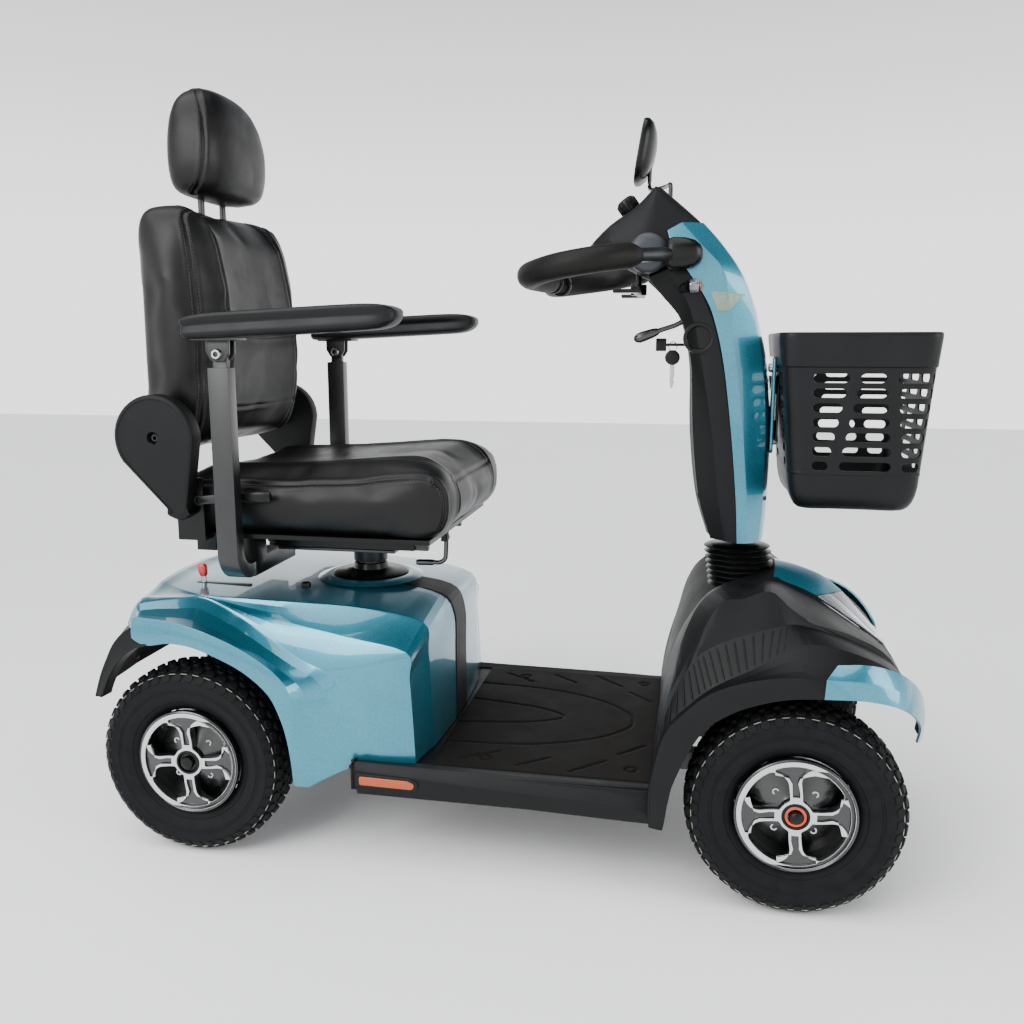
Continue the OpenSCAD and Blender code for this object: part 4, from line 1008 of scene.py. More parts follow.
seat_thread = joined("seat_stitching", [stitches("thread", beside(seat, g, (0, 0, -6)), thread)
    for g in both(side_top)]
                     + [stitches("thread", beside(seat, g, (-7, 0, 0)), thread) for g in both(front_corner)])
dress(seat_thread, thread, "seat", "vinyl")
back_thread = joined("back_stitching", [stitches("thread", beside(back, g, (s, 0, 0)), thread)
    for g in both(back_edge) for s in (-6, 6)])
dress(back_thread, thread, "back", "vinyl")
head_thread = joined("headrest_stitching", [stitches("thread", beside(headrest, g, (-6, 0, 0)), thread)
    for g in both(head_edge)])
dress(head_thread, thread, "headrest", "vinyl")
print(f"{len(seat_thread.data.polygons) + len(back_thread.data.polygons)} faces of thread")


# %% [markdown]
# ## Arms, hinge covers and levers
# The armrest pads are self-skinned foam from a mould. Their side has a step under the top lip, so a pad is
# a loft of one section along its length. Parts cut from bar and sheet keep the CAD's shape and only get
# the small radius that a file or a press leaves, which takes a copy of the CAD mesh and a Bevel.

# %% Soften a copy of a CAD node
def from_cad(name, source, width, material, body, slot, segments=2, angle=28):
    """A copy of a CAD node's mesh with its edges rounded. It stands for that node."""
    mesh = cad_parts[source].data.copy()
    piece = placed(name, mesh)
    mesh.materials.clear()
    with edited(mesh) as shape:
        bmesh.ops.remove_doubles(shape, verts=shape.verts, dist=1e-5)
        bmesh.ops.dissolve_limit(shape, angle_limit=math.radians(0.8), verts=shape.verts, edges=shape.edges)
    soften(piece, width, segments, angle)
    return dress(piece, material, body, slot, source, angle=35)


def bolt_head(name, centre, radius, side, material=None, depth=5.0):
    """A domed screw with a hexagon socket, its axis along Y."""
    x, y, z = centre
    head = lathe(name, [(radius, 0), (radius, side * depth * 0.5), (radius * 0.8, side * depth),
        (radius * 0.5, side * depth), (radius * 0.48, side * depth * 0.4), (0.1, side * depth * 0.4)],
                 (x, y, z), 24)
    head.data.materials.append(material or zinc)
    return head


# %% Armrests
PAD_STATIONS = [(-472.5, 893, 921, 0.93, 1.0), (-470, 890.5, 925, 1.0, 1.0), (-440, 890, 932, 1.0, 1.0),
    (-380, 893, 935, 1.0, 1.0), (-300, 897, 939, 1.0, 1.0),
                (-220, 901, 943, 1.0, 0.9), (-170, 903.5, 945, 1.0, 0.7), (-145, 905.5, 944.5, 0.97, 0.35),
                (-129, 911, 941.5, 0.88, 0.1), (-120, 918, 937, 0.72, 0.0), (-115.5, 925, 932, 0.4, 0.0)]
PAD_SECTION = [(37.4, -11), (32, -16), (31.5, -20), (35, -27), (35.5, -34)]


def pad_ring(x, low, high, wide, step):
    """A section of a pad: a flat top with a lip, a step under it and a rounded bottom."""
    right = [(30, high), (35.5, high - 1.2), (37.6, high - 4)]
    for y, drop in PAD_SECTION:
        z = high + drop * (high - low) / 42
        right.append((y * step + 36 * (1 - step), z))
    right += [(33, low + 6), (28, low + 1.4), (20, low)]
    return [(x, 262 + y * wide, z) for y, z in right] + [(x, 262 - y * wide, z) for y, z in right[::-1]]


def make_arm(side, label):
    """Pad, bracket and bolts of one armrest; made on the left and flipped for the right."""
    body = f"armrest_{label}"
    pad = loft(f"armrest_pad_{label}", [pad_ring(*s) for s in PAD_STATIONS])
    round_off(pad, 2)
    plates = [plate("cheek", rounded_outline([(-443, 893), (-402, 893), (-403, 868), (-411, 856),
        (-434, 856), (-443, 871)], 5), y0, y1, 0.8)
              for y0, y1 in ((244.2, 249.2), (263.0, 268.6))]
    top = plate("top_plate", rounded_outline([(-460, 889), (-385, 889), (-385, 896), (-460, 896)], 1), 240,
        284, 0.6)
    pin = disc("pin", (-423, 867), 5, 240, 272, 0.5, 24)
    painted(satin_black, *plates + [top, pin])
    bolts = [bolt_head("bolt", (-423, 268.6, 867), 9.0, 1, zinc, 6),
        bolt_head("bolt", (-423, 244.2, 867), 9.0, -1, zinc, 5)]
    bracket = joined(f"armrest_bracket_{label}", plates + [top, pin] + bolts)
    if side < 0:
        pad, bracket = [swap_side(p) for p in (pad, bracket)]
    dress(pad, foam, body, "arm_foam", f"armrest_{label}", angle=50)
    dress(bracket, satin_black, body, "frame_paint", angle=35)
    from_cad(f"arm_post_{label}_bar", f"arm_post_{label}", 3.0, satin_black, f"arm_{label}", "frame_paint", 3)
    return pad


def swap_side(piece):
    """Turns a left piece into its right-hand twin, under the same name."""
    twin, name = flipped(piece, "twin"), piece.name
    removed(piece)
    twin.name = name
    return twin


for side, label in ((1, "left"), (-1, "right")):
    pad = make_arm(side, label)
print(f"pad {len(pad.data.polygons)} faces")


# %% Hinge covers: a grained teardrop shell with shallow facets round its bolt
def hinge_cover(name):
    """One cover, on the left: a rolled rim, then facets up to the bolt hole."""
    hinge = (-548, 729)
    arc = [(hinge[0] + 72 * math.cos(a), hinge[1] + 72 * math.sin(a))
        for a in np.linspace(0, math.radians(214), 30)]
    outline = arc + rounded_outline([(-536, 600), (-508, 590), (-482, 604)], [8, 12, 14], 6)
    outline = [np.array(p) for p in outline]
    centre = np.array((-537, 700.0))
    rings = []
    for y, inset in ((238, 6), (238, 1), (241, 0), (262, 0), (265.5, 1.2), (267.4, 4), (267.8, 7),
            (266.2, 8.5)):
        drawn_in = [p + (centre - p) / np.linalg.norm(centre - p) * inset for p in outline]
        rings.append([(x, y, z) for x, z in drawn_in])
    facets = []
    for p in outline:
        direction = math.degrees(math.atan2(p[1] - hinge[1], p[0] - hinge[0])) % 360
        lift = 0.8 if direction < 8 or direction > 300 else (-0.6 if 150 < direction < 235 else 0.3)
        near = np.array(hinge) + (p - hinge) / np.linalg.norm(p - hinge) * 11
        facets.append((near[0], 267.2 + lift, near[1]))
    rings += [facets, [(hinge[0] + (f[0] - hinge[0]) * 0.75, 258.0, hinge[1] + (f[2] - hinge[1]) * 0.75)
        for f in facets]]
    return loft(name, rings)


for side, label in ((1, "left"), (-1, "right")):
    cover = hinge_cover(f"hinge_cover_{label}")
    painted(grained, cover)
    parts = [cover, disc("boss", (-548, 729), 20, 222.6, 244, 1.0),
        bolt_head("bolt", (-548, 256, 729), 7, 1, black_steel, 5), disc("pin", (-548, 729), 8, 207, 226, 0.5)]
    painted(grained, *parts[1:2], *parts[3:])
    whole = joined(f"recliner_cover_{label}", parts)
    whole = whole if side > 0 else swap_side(whole)
    dress(whole, grained, "seat", "black_panel", *(["hinge_covers"] if side > 0 else []), angle=24)
print("hinge covers ready")

# %% Seat levers
recline_grip = loft("recline_lever_grip", [[(x, -237 + y, z + 627 + (x + 488) * 0.036) for y,
    z in squircle(w, h, 20, 3)]
                                           for x, w, h in ((-408, 3, 6), (-406, 4.8, 8), (-398, 6, 10),
                                           (-376, 6.2, 10.5), (-362, 6, 9.5), (-357, 4, 6))])
dress(recline_grip, smooth_black, "recline_lever", "black_panel", angle=40)
from_cad("recline_lever_bar", "recline_lever", 1.0, black_steel, "recline_lever", "frame_paint")
slide_bar = pipe("slide_lever_bar", smooth_line([(-95, -85.5, 545), (-95, -85.5, 534), (-96, -85.5, 516),
    (-98, -85.5, 503), (-108, -85.5, 496), (-124, -85.5, 496), (-150, -85.5, 494)], 5), 4.2, 20)
slide_sleeve = pipe("sleeve", [(x, -85.5, 494.6 + (x + 150) * 0.03)
    for x in (-152, -151, -146, -122, -119, -118)], [2, 4.6, 5.6, 5.6, 5.0, 4.3], 20)
slide_eye = disc("eye", (-95, 543), 6.5, -89.6, -81.4, 0.8)
slide_lever = joined("slide_lever_rod", [slide_bar, slide_sleeve, slide_eye])
dress(slide_lever, gloss_black, "slide_lever", "frame_paint", "slide_lever")
print("levers ready")


# %% [markdown]
# ## Body panels
# The panels are thin mouldings with broad, nearly flat facets that meet in soft creases. Each panel is a
# skin over guide lines: every crease of the real panel is one guide, running from the rear to the front.
# Between two guides the skin may bulge or sink a few millimetres. Solidify then gives the wall.

# %% Skin over guide lines
def skin(name, guides, bulges=None, along=4, wall=3.0, crease=3.5, mirrored=True):
    """A wall over guides with as many points each. The last one lies on the centre plane when mirrored."""
    lines = [smooth_line(g, along) for g in guides]
    bulges = bulges or [0.0] * (len(lines) - 1)
    rows = [lines[0]]
    for low, high, rise in zip(lines[:-1], lines[1:], bulges):
        ahead = np.gradient((low + high) / 2, axis=0)
        out = np.cross(ahead, high - low)
        out /= np.maximum(np.linalg.norm(out, axis=1), 1e-6)[:, None]
        for t in (0.05, 0.3, 0.7, 0.95, 1.0):  # close to each crease, so that the facet between stays flat
            rows.append(low + (high - low) * t + out * rise * 4 * t * (1 - t))
    if mirrored:
        rows += [row * FLIP for row in rows[-2::-1]]
    panel = loft(name, rows, closed=False)
    face_out(panel)
    if crease:
        soften(panel, crease, 3, 9)
    change(panel, "SOLIDIFY", thickness=wall * MM, offset=-1.0)
    tidy_mesh(panel)
    return panel


def face_out(panel):
    """Turns an open panel's faces away from the scooter's inside."""
    centres = np.array([face.center for face in panel.data.polygons])
    inside = np.array((centres[:, 0].mean(), 0.0, centres[:, 2].mean() - 80 * MM))
    outwards = sum(face.area * np.dot(face.normal, centre - inside) for face,
        centre in zip(panel.data.polygons, centres))
    if outwards < 0:
        panel.data.flip_normals()


def lifted(line, amount):
    """A line moved by some millimetres."""
    return [tuple(np.array(p) + np.array(amount)) for p in line]


def turned(name, profile, centre, material, steps=64):
    """Turns (radius, z) points about an upright axis through centre (x, y)."""
    rings = [[(centre[0] + r * math.cos(a), centre[1] + r * math.sin(a), z) for a in even_turn(steps)] for r,
        z in profile]
    return painted(material, loft(name, rings))


print("skin helper ready")


# %% Rear shroud: flare, sunk facet, side face, shoulder and roof
def flat_guide(y, points):
    """A guide in one upright plane."""
    return [(x, y, z) for x, z in points]


arch_line = [(-594, -297, 396), (-590, -300, 390), (-565, -301, 380), (-525, -301, 386), (-484, -301, 382),
    (-439, -301, 367), (-391, -301, 344),
             (-348, -301, 308), (-328, -300, 266), (-318, -300, 230), (-312, -300, 190), (-310, -299, 160),
             (-308, -298, 148)]
flare_line = [(-600, -290, 412), (-590, -295, 427), (-570, -296, 427), (-530, -297, 424), (-492, -297, 418),
    (-439, -297, 401), (-386, -297, 378),
              (-339, -297, 347), (-313, -296, 312), (-305, -296, 262), (-299, -295, 215), (-288, -294, 165),
              (-284, -292, 146)]
side_rear = [(-634, -245, 398), (-608, -255, 434), (-580, -242, 441), (-540, -224, 442), (-504, -208, 441),
    (-427, -228, 416), (-360, -243, 382),
             (-308, -252, 355), (-262, -257, 338), (-231, -259, 306), (-214, -260, 255), (-196, -258, 200),
             (-191, -256, 184)]
side_top = [(-648, -215, 392), (-617, -226, 440), (-588, -219, 443), (-548, -211, 443), (-503, -203, 442),
    (-434, -214, 428), (-340, -226, 412),
            (-230, -238, 396), (-122, -250, 379), (-117, -251, 335), (-113, -251, 270), (-110, -250, 205),
            (-109, -249, 184)]
shoulder = [(-672, -130, 382), (-640, -130, 443), (-602, -150, 445), (-555, -180, 445), (-502, -198, 443.5),
    (-430, -200, 442), (-330, -198, 440),
            (-215, -192, 434), (-112, -182, 412), (-104, -180, 360), (-101, -178, 290), (-99, -176, 215),
            (-98, -175, 184)]
roof_line = [(-682, 378), (-655, 444), (-610, 446), (-560, 447), (-502, 447), (-430, 446), (-330, 445),
    (-215, 441), (-120, 424), (-94, 385), (-92, 310),
             (-91.5, 220), (-91.5, 184)]
shroud = skin("rear_shroud_moulding", [lifted(arch_line, (3, 26, 2)), arch_line, flare_line, side_rear,
    side_top, shoulder, flat_guide(-40, roof_line), flat_guide(0, roof_line)],
              [0, 1.0, -7.0, 2.0, -2.0, 1.0, 0], wall=2.5, crease=2.5)
dress(shroud, lacquer, "chassis", "teal_panel", "rear_shroud", angle=60)
print(f"shroud {len(shroud.data.polygons)} faces")

# %% On the shroud: centre strip, seat post boss, charge cap and lever slot
strip_line = [(-226, 443.5)] + [(x + (1.5 if z + 2.5 < 420 else 0), z + 2.5) for x, z in roof_line[8:]]
strip = skin("shroud_centre_strip", [flat_guide(-38, [(x, z - 5) for x, z in strip_line]),
    flat_guide(-36, strip_line), flat_guide(0, strip_line)], wall=2.0, crease=0.8)
painted(grained, strip)
tail = turned("strip_tail", [(30, 444), (62, 444.5), (66, 447.5), (62, 449.5), (34, 450.5)], (-268, 0),
    grained)
post_dish = turned("seat_post_dish", [(60, 440), (100, 446), (92, 449), (80, 452), (66, 451), (60, 446)],
    (-268, 0), lacquer)
collar = turned("post_collar", [(27, 446), (70, 451), (72, 453.5), (66, 456), (48, 457), (34, 462),
    (31, 472), (27, 473), (26, 460)], (-268, 0), smooth_black)
cap_knob = turned("charge_cap", [(3, 446), (9, 446), (10, 450), (8.5, 455), (5, 457), (1, 457.4)],
    (-352, -118), smooth_black, 32)
whole_strip = joined("shroud_centre_strip", [strip, tail, collar, cap_knob])
dress(whole_strip, grained, "chassis", "black_panel", "shroud_strip", angle=40)
dress(post_dish, lacquer, "chassis", "teal_panel", angle=50)
slot_rim = plate("lever_slot_rim", rounded_outline([(-566, -125.5), (-457, -125.5), (-457, -114.5),
    (-566, -114.5)], 5), 0, 3.2, 1.0)
slot_rim.data.transform(Matrix.Translation(Vector((0, 0, 444.4)) * MM) @ Matrix(((1, 0, 0, 0), (0, 0, 1, 0),
    (0, 1, 0, 0), (0, 0, 0, 1))))
tidy_mesh(slot_rim)
painted(smooth_black, slot_rim)
dress(slot_rim, smooth_black, "chassis", "black_panel", angle=40)
print("shroud fittings ready")


# %% Freewheel lever: a steel bar with a red dipped knob
lever_bar = pipe("lever_bar", [(-552, -120, 240), (-552, -120, 300), (-552, -120, 440), (-553, -120, 461)],
    [5.0, 5.2, 5.2, 4.6], 20)
painted(zinc, lever_bar)
red_knob = loft("red_knob", [[(-553 + x + (z - 460) * -0.12, -120 + y, z) for x, y in squircle(w, d, 24, 3.2)]
                             for z, w, d in ((458.5, 4.5, 4.5), (460, 6.2, 5.6), (468, 8.0, 6.2),
                             (476, 9.0, 6.4), (480, 8.0, 5.6), (481.8, 5.0, 3.4))])
painted(red_cap, red_knob)
dress(joined("freewheel_lever_and_knob", [lever_bar, red_knob]), red_cap, "freewheel", "frame_paint",
    "freewheel_lever", angle=50)


# %% Rear trim: black tail of the wheel arches and the bumper
trim_rows = {
    "arch": [(-563, -302, 380), (-585, -303, 374), (-604, -303, 362), (-622, -303, 344), (-638, -302, 321),
    (-650, -301, 298), (-657, -300, 281)],
    "side": [(-596, -297, 409), (-613, -297, 397), (-631, -297, 377), (-646, -296, 350), (-659, -296, 322),
    (-668, -295, 298), (-675, -293, 279)],
    "corner": [(-652, -205, 389), (-662, -210, 379), (-672, -214, 364), (-680, -216, 345), (-688, -217, 322),
    (-694, -217, 299), (-698, -216, 279)],
    "back": [(-674, -120, 381), (-681, -122, 372), (-688, -123, 360), (-695, -124, 342), (-701, -124, 320),
    (-705, -124, 299), (-706, -123, 279)],
    "centre": [(-684, 0, 377), (-690, 0, 368), (-696, 0, 356), (-701, 0, 340), (-705, 0, 320),
    (-707, 0, 299), (-707, 0, 279)]}
trim = skin("rear_trim_moulding", [lifted(trim_rows["arch"], (-1, 30, -2))] + list(trim_rows.values()),
    [0, 1.5, 3, 1, 0], wall=3.0, crease=3.0)
dress(trim, grained, "chassis", "black_panel", "rear_bumper", angle=50)
lamps = []
for side in (-1, 1):
    case = plate("lamp", rounded_outline([(-20, -13), (20, -13), (20, 13), (-20, 13)], 5), -4.5, 1.8, 1.2)
    case.data.transform(Matrix.Translation(Vector((-707.2, side * 130,
        298.5)) * MM) @ Matrix.Rotation(math.radians(90), 4, "Z"))
    painted(red_lens, case)
    lamps.append(case)
dress(joined("tail_lamps", lamps), red_lens, "chassis", "red_lens", "tail_lights", angle=40)
print("rear trim ready")


# %% Front cowl: arch band, ribbed band, raised side panel, crown and nose
cowl_arch = [(306, -298, 131), (311, -300, 168), (323, -301, 219), (359, -301, 295), (402, -301, 331),
    (445, -301, 350), (488, -301, 361), (536, -301, 365),
             (598, -298, 366), (655, -282, 350), (684, -240, 318), (692, -205, 284)]
cowl_band = [(284, -292, 131), (284, -294, 191), (300, -296, 276), (328, -296, 319), (371, -296, 359),
    (429, -296, 383), (487, -296, 393), (539, -296, 391),
             (604, -290, 386), (655, -270, 366), (690, -228, 326), (699, -195, 285)]
rib_foot = [(282, -286, 140), (284, -284, 200), (304, -270, 284), (350, -264, 337), (387, -262, 365),
    (431, -262, 389), (474, -258, 414), (523, -246, 432),
            (597, -238, 415), (655, -215, 382), (693, -180, 335), (706, -160, 285)]
rib_head = [(281, -280, 145), (285, -268, 215), (303, -252, 300), (335, -236, 374), (365, -226, 406),
    (416, -224, 430), (475, -220, 449), (512, -205, 449),
            (586, -188, 423), (655, -160, 381), (697, -130, 330), (711, -115, 285)]
panel_top = [(281, -270, 150), (287, -255, 230), (305, -236, 315), (338, -220, 392), (382, -208, 476),
    (420, -204, 487), (461, -200, 500), (494, -203, 474),
             (530, -197, 450), (592, -178, 428), (657, -150, 384), (712, -108, 285)]
crown = [(283, -262, 152), (290, -240, 240), (310, -200, 335), (330, -185, 420), (362, -150, 474),
    (415, -110, 488), (474, -74, 486), (512, -67, 472),
         (549, -62, 454), (606, -57, 417), (664, -53, 374), (716, -40, 285)]
centre_line = [(290, 0, 160), (292, 0, 245), (308, 0, 330), (334, 0, 389), (380, 0, 444), (430, 0, 474),
    (486, 0, 500), (530, 0, 492),
               (566, 0, 477), (628, 0, 412), (668, 0, 366), (717, 0, 283)]
cowl_guides = [lifted(cowl_arch, (2, 28, -3)), cowl_arch, cowl_band, rib_foot, rib_head, panel_top, crown,
    centre_line]
cowl = skin("front_cowl_moulding", cowl_guides, [0, 1.5, -3.0, 0.5, 0.0, 1.5, 4.0], wall=2.5, crease=3.0)
foot_lines, head_lines = smooth_line(rib_foot, 12), smooth_line(rib_head, 12)
ribs = []
for k in range(19):  # evenly along the band, fading out towards the nose
    at = 20 + k * 3
    foot, head = foot_lines[at], head_lines[min(at + 2, len(head_lines) - 1)]
    fade = 1.0 - max(0.0, (k - 12) / 7)
    out = np.array((0, -0.9 * fade + 0.5, 0.35 * fade))
    ribs.append(pipe("rib", [foot + (head - foot) * t + out for t in (0.05, 0.12, 0.5, 0.86, 0.94)],
        [0.5, 1.5, 1.6, 1.5, 0.5], 8))
ribs += [flipped(rib, "rib") for rib in list(ribs)]
painted(grained, *ribs)
painted(grained, cowl)
cowl = joined("front_cowl_moulding", [cowl] + ribs)
dress(cowl, grained, "chassis", "black_panel", "front_cowl", angle=60)

# %% On the cowl: teal cap, teal wing tips, headlight
cap = skin("cap", [[(476, -62, 490), (495, -62, 484), (515, -61, 477), (533, -60, 469), (549, -58, 461)],
                   [(480, -34, 503), (503, -34, 497), (530, -34, 487), (556, -33, 474), (574, -32, 459)],
                   [(482, 0, 508), (508, 0, 503), (538, 0, 494), (567, 0, 481), (598, 0, 457)]], [1, 1],
                   wall=3.5, crease=1.5)
tip_low = [(537, -303, 366), (598, -300.5, 366), (656, -284, 350), (688, -242, 312), (694, -204, 268)]
tip_mid = [(539, -301, 396), (604, -293, 391), (658, -272, 369), (695, -230, 324), (701, -195, 270)]
tip_top = [(556, -284, 414), (606, -278, 414), (660, -252, 391), (697, -212, 342), (704, -190, 276)]
tip = skin("tip", [tip_low, tip_mid, tip_top], [0.5, 0.5], wall=4.0, crease=2.0, mirrored=False)
far_tip = flipped(tip, "far_tip")
painted(lacquer, cap, tip, far_tip)
dress(joined("cowl_cap_and_wing_tips", [cap, tip, far_tip]), lacquer, "chassis", "teal_panel", "cowl_panels",
    angle=60)
lens_edge = [(551, -59, 460), (578, -58, 443), (606, -56, 424), (634, -54, 404), (664, -51, 381)]
lens_mid = [(575, -32, 458), (597, -31, 440), (620, -30, 419), (645, -29, 396), (669, -28, 376)]
lens_centre = [(599, 0, 456), (617, 0, 436), (636, 0, 415), (655, 0, 394), (673, 0, 372)]
cover = skin("cover", [lens_edge, lens_mid, lens_centre], [1.5, 1.0], wall=2.0, crease=1.0)
bowl = skin("bowl", [lifted(g, (-3, 0, -3)) for g in (lens_edge, lens_mid, lens_centre)], [-4, -4], wall=1.0,
    crease=0)
painted(lens, cover)
painted(zinc, bowl)
dress(joined("headlight_lens", [cover, bowl]), lens, "chassis", "clear_lens", "headlight", angle=50)
print("front cowl ready")

# %% [markdown]
# ## Tiller
# The tiller is a bent column in two mouldings, black towards the rider and lacquered towards the road,
# under a black head with the dash. Grips, throttle, knob, keys and mirror are separate pieces on it.

# %% Column covers and head
front_seam = [(281, -74, 1066), (291, -76, 1035), (318, -76.5, 998), (347, -76, 955), (363, -75.5, 915),
    (379, -75.5, 848), (395, -75, 737), (407, -73, 625), (412, -69, 548)]
front_band = [(304, -74, 1078), (335, -76, 1044), (372, -76, 1003), (382, -76, 955), (389, -76, 915),
    (399, -75, 848), (414, -73, 737), (425, -70, 625), (430, -66, 548)]
front_corner_line = [(338, -60, 1078), (368, -60, 1045), (400, -60, 1000), (420, -60, 950), (431, -59, 910),
    (443, -57, 850), (452, -54, 745), (453, -50, 625), (449, -46, 548)]
front_middle = [(345, 0, 1072), (372, 0, 1042), (402, 0, 1003), (427, 0, 950), (439, 0, 905), (452, 0, 848),
    (462, 0, 745), (463, 0, 625), (459, 0, 549)]
front_cover = skin("tiller_front_moulding", [lifted(front_seam, (2, 8, 0)), front_seam, front_band,
    front_corner_line, front_middle], [0, 0.5, 0.5, 3.0], wall=2.5, crease=2.5)
basket_plate = plate("basket_plate", rounded_outline([(-45, 700), (45, 700), (45, 862), (-45, 862)], 12), 0,
    6, 2.0)
basket_plate.data.transform(Matrix.Translation(Vector((460, 0, 0)) * MM) @ Matrix.Rotation(math.radians(-90),
    4, "Z"))
painted(lacquer, basket_plate)
painted(lacquer, front_cover)
# Two thin wedges on the chamfer facets hold a painted reflection, a greenish-white patch of light. They are
# not lenses.
reflection_points = [(353, -77.8, 968), (381, -78.2, 966), (410, -68.5, 963), (384, -78.2, 936), (366, -78, 936)]
for side in (1, -1):
    wedge = mesh_piece("wedge", [(x, side * (y + deep), z) for deep in (0, 6) for x, y, z in reflection_points],
                       [(0, 1, 3, 4), (1, 2, 3), (9, 8, 6, 5), (8, 7, 6), (0, 5, 6, 1), (1, 6, 7, 2),
                       (2, 7, 8, 3), (3, 8, 9, 4), (4, 9, 5, 0)])
    soften(wedge, 1.0, 2)
    painted(painted_facet_reflection, wedge)
    front_cover = joined("tiller_front_moulding", [front_cover, wedge])
front_cover = joined("tiller_front_moulding", [front_cover, basket_plate])
dress(front_cover, lacquer, "tiller", "teal_panel", "tiller_front_cover", angle=50)

rear_seam = [(296, -70, 1010), (318, -74, 1000), (334, -74.5, 975), (348, -74.5, 945), (362, -75, 905),
    (378, -75, 840), (394, -74.5, 735), (406, -72, 624), (411, -68, 549)]
rear_ridge = [(276, -70, 1002), (295, -72, 985), (312, -72, 960), (324, -72, 932), (334, -72, 895),
    (346, -73, 838), (364, -73, 735), (378, -69, 624), (392, -60, 549)]
rear_corner = [(252, -62, 992), (270, -58, 968), (290, -56, 946), (308, -55, 921), (319, -54, 885),
    (327, -55, 838), (332, -55, 737), (345, -52, 627), (368, -42, 550)]
rear_middle = [(248, 0, 989), (266, 0, 972), (287, 0, 952), (304, 0, 926), (315, 0, 890), (323, 0, 838),
    (326, 0, 740), (339, 0, 628), (362, 0, 552)]
rear_cover = skin("tiller_rear_moulding", [lifted(rear_seam, (7, 4, 0)), rear_seam, rear_ridge, rear_corner,
    rear_middle], [0, -1.0, 1.0, 2.0], wall=2.5, crease=2.0)
painted(grained, rear_cover)
lock_ring = lathe("lock_ring", [(26, 0), (25.5, -3.5), (22, -4.5), (19, -3.0), (18, 0)], (337, -72, 893), 48)
painted(smooth_black, lock_ring)
dress(joined("tiller_rear_moulding", [rear_cover, lock_ring]), grained, "tiller", "black_panel",
    "tiller_rear_cover", angle=50)
print("covers ready")

# %% Head with its dash, collars and bullet caps
HEAD = [(149, 1044, 1049, 26), (158, 1036, 1058, 44), (183, 1026, 1083, 58), (209, 1012, 1098, 66),
    (232, 1000, 1114, 71), (247, 992, 1131, 73), (258, 990, 1143, 72), (268, 992, 1140, 71),
        (296, 1004, 1116, 70), (330, 1040, 1087, 66), (348, 1052, 1068, 60)]


def head_section(x, low, high, half):
    """A section of the head: narrower on top, with a flat dash."""
    return [(x, y * (1 - 0.16 * max(0, z) / max(1, (high - low) / 2)), (low + high) / 2 + z) for y,
        z in squircle(half, (high - low) / 2, 40, 5)]


head = soften(loft("tiller_head_moulding", [head_section(*s) for s in HEAD]), 3, 2, 20)
head.data.materials.append(grained)
round_off(head, 1)
extras = []
for side in (-1, 1):
    extras.append(lathe("collar", [(0.5, side * 74), (32, side * 74), (33, side * 79), (31, side * 88),
    (25, side * 92), (13, side * 93), (0.5, side * 93)], (250, 0, 1030), 64))
    bullet = loft("bullet", [[(x, side * (95 + y), 1027 + z) for y, z in squircle(w, h, 32, 2.6)]
                             for x, w, h in ((283, 14, 21), (285, 16, 24), (292, 17, 26), (310, 17, 25.5),
                             (326, 15, 21), (335, 11, 14), (339, 5, 6))])
    extras.append(bullet)
    extras.append(pipe("stalk", [(306, side * 66, 972), (312, side * 74, 975), (318, side * 80, 976)],
        [7, 8, 9], 24))
for part, material in zip(extras, [moulded_grey, smooth_black, smooth_black] * 2):
    painted(material, part)
dress(joined("tiller_head_moulding", [head] + extras), grained, "tiller", "black_panel", "tiller_head",
    angle=50)
bulbs = []
for side in (-1, 1):
    case = pipe("case", [(x, side * 78, 977) for x in (319, 320, 324, 331, 334.5, 335.5)],
    [6, 10.5, 11.5, 11.5, 9.5, 4], 32)
    bulb = pipe("bulb", [(x, side * 78, 977) for x in (336, 336.5, 338, 339.5, 340)],
        [8.5, 8.2, 6.5, 3.5, 0.8], 24)
    painted(lens, case)
    painted(amber, bulb)
    bulbs += [case, bulb]
dress(joined("indicator_lamps", bulbs), amber, "tiller", "amber_lens", "indicators", angle=50)
print("head ready")

# %% Handlebar and grips
BAR = [(-142, 97, 1026), (-175, 150, 1021), (-222, 205, 1014), (-268, 222, 1007), (-316, 208, 1000),
    (-356, 168, 993), (-366, 128, 991), (-354, 84, 989), (-340, 44, 988)]
bar_middle = smooth_line([(430 + x, y, z) for x, y, z in BAR], 8)
bars, grips = [], []
for side in (-1, 1):
    line = bar_middle * (1, side, 1)
    bars.append(pipe("bar", np.vstack([(line[0] + (14, -22 * side, 2)), line[:12]]), 11.2, 24))
    ends = line[11:-2]
    lengths = np.linspace(0, 1, len(ends))
    radii = 20.2 - 6 * np.exp(-((lengths) / 0.02) ** 2) - 1.5 * np.exp(-((1 - lengths) / 0.03) ** 2)
    grips.append(pipe("grip", ends, radii, 36))
    tip, step = line[-2], (line[-1] - line[-3]) / np.linalg.norm(line[-1] - line[-3])
    grips.append(pipe("end_cap", [tip + step * d for d in (-3, -1, 2, 6, 9, 11)],
        [19, 20.5, 20.5, 17.5, 12, 4], 36))
painted(satin_black, *bars)
for number, part in enumerate(grips):
    painted(smooth_black if number % 2 else grip_rubber, part)
dress(joined("handlebar_tube", bars), satin_black, "tiller", "frame_paint", "handlebar", angle=50)
dress(joined("grip_sleeves", grips), grip_rubber, "tiller", "grip_foam", "hand_grips", angle=50)
print("bars ready")

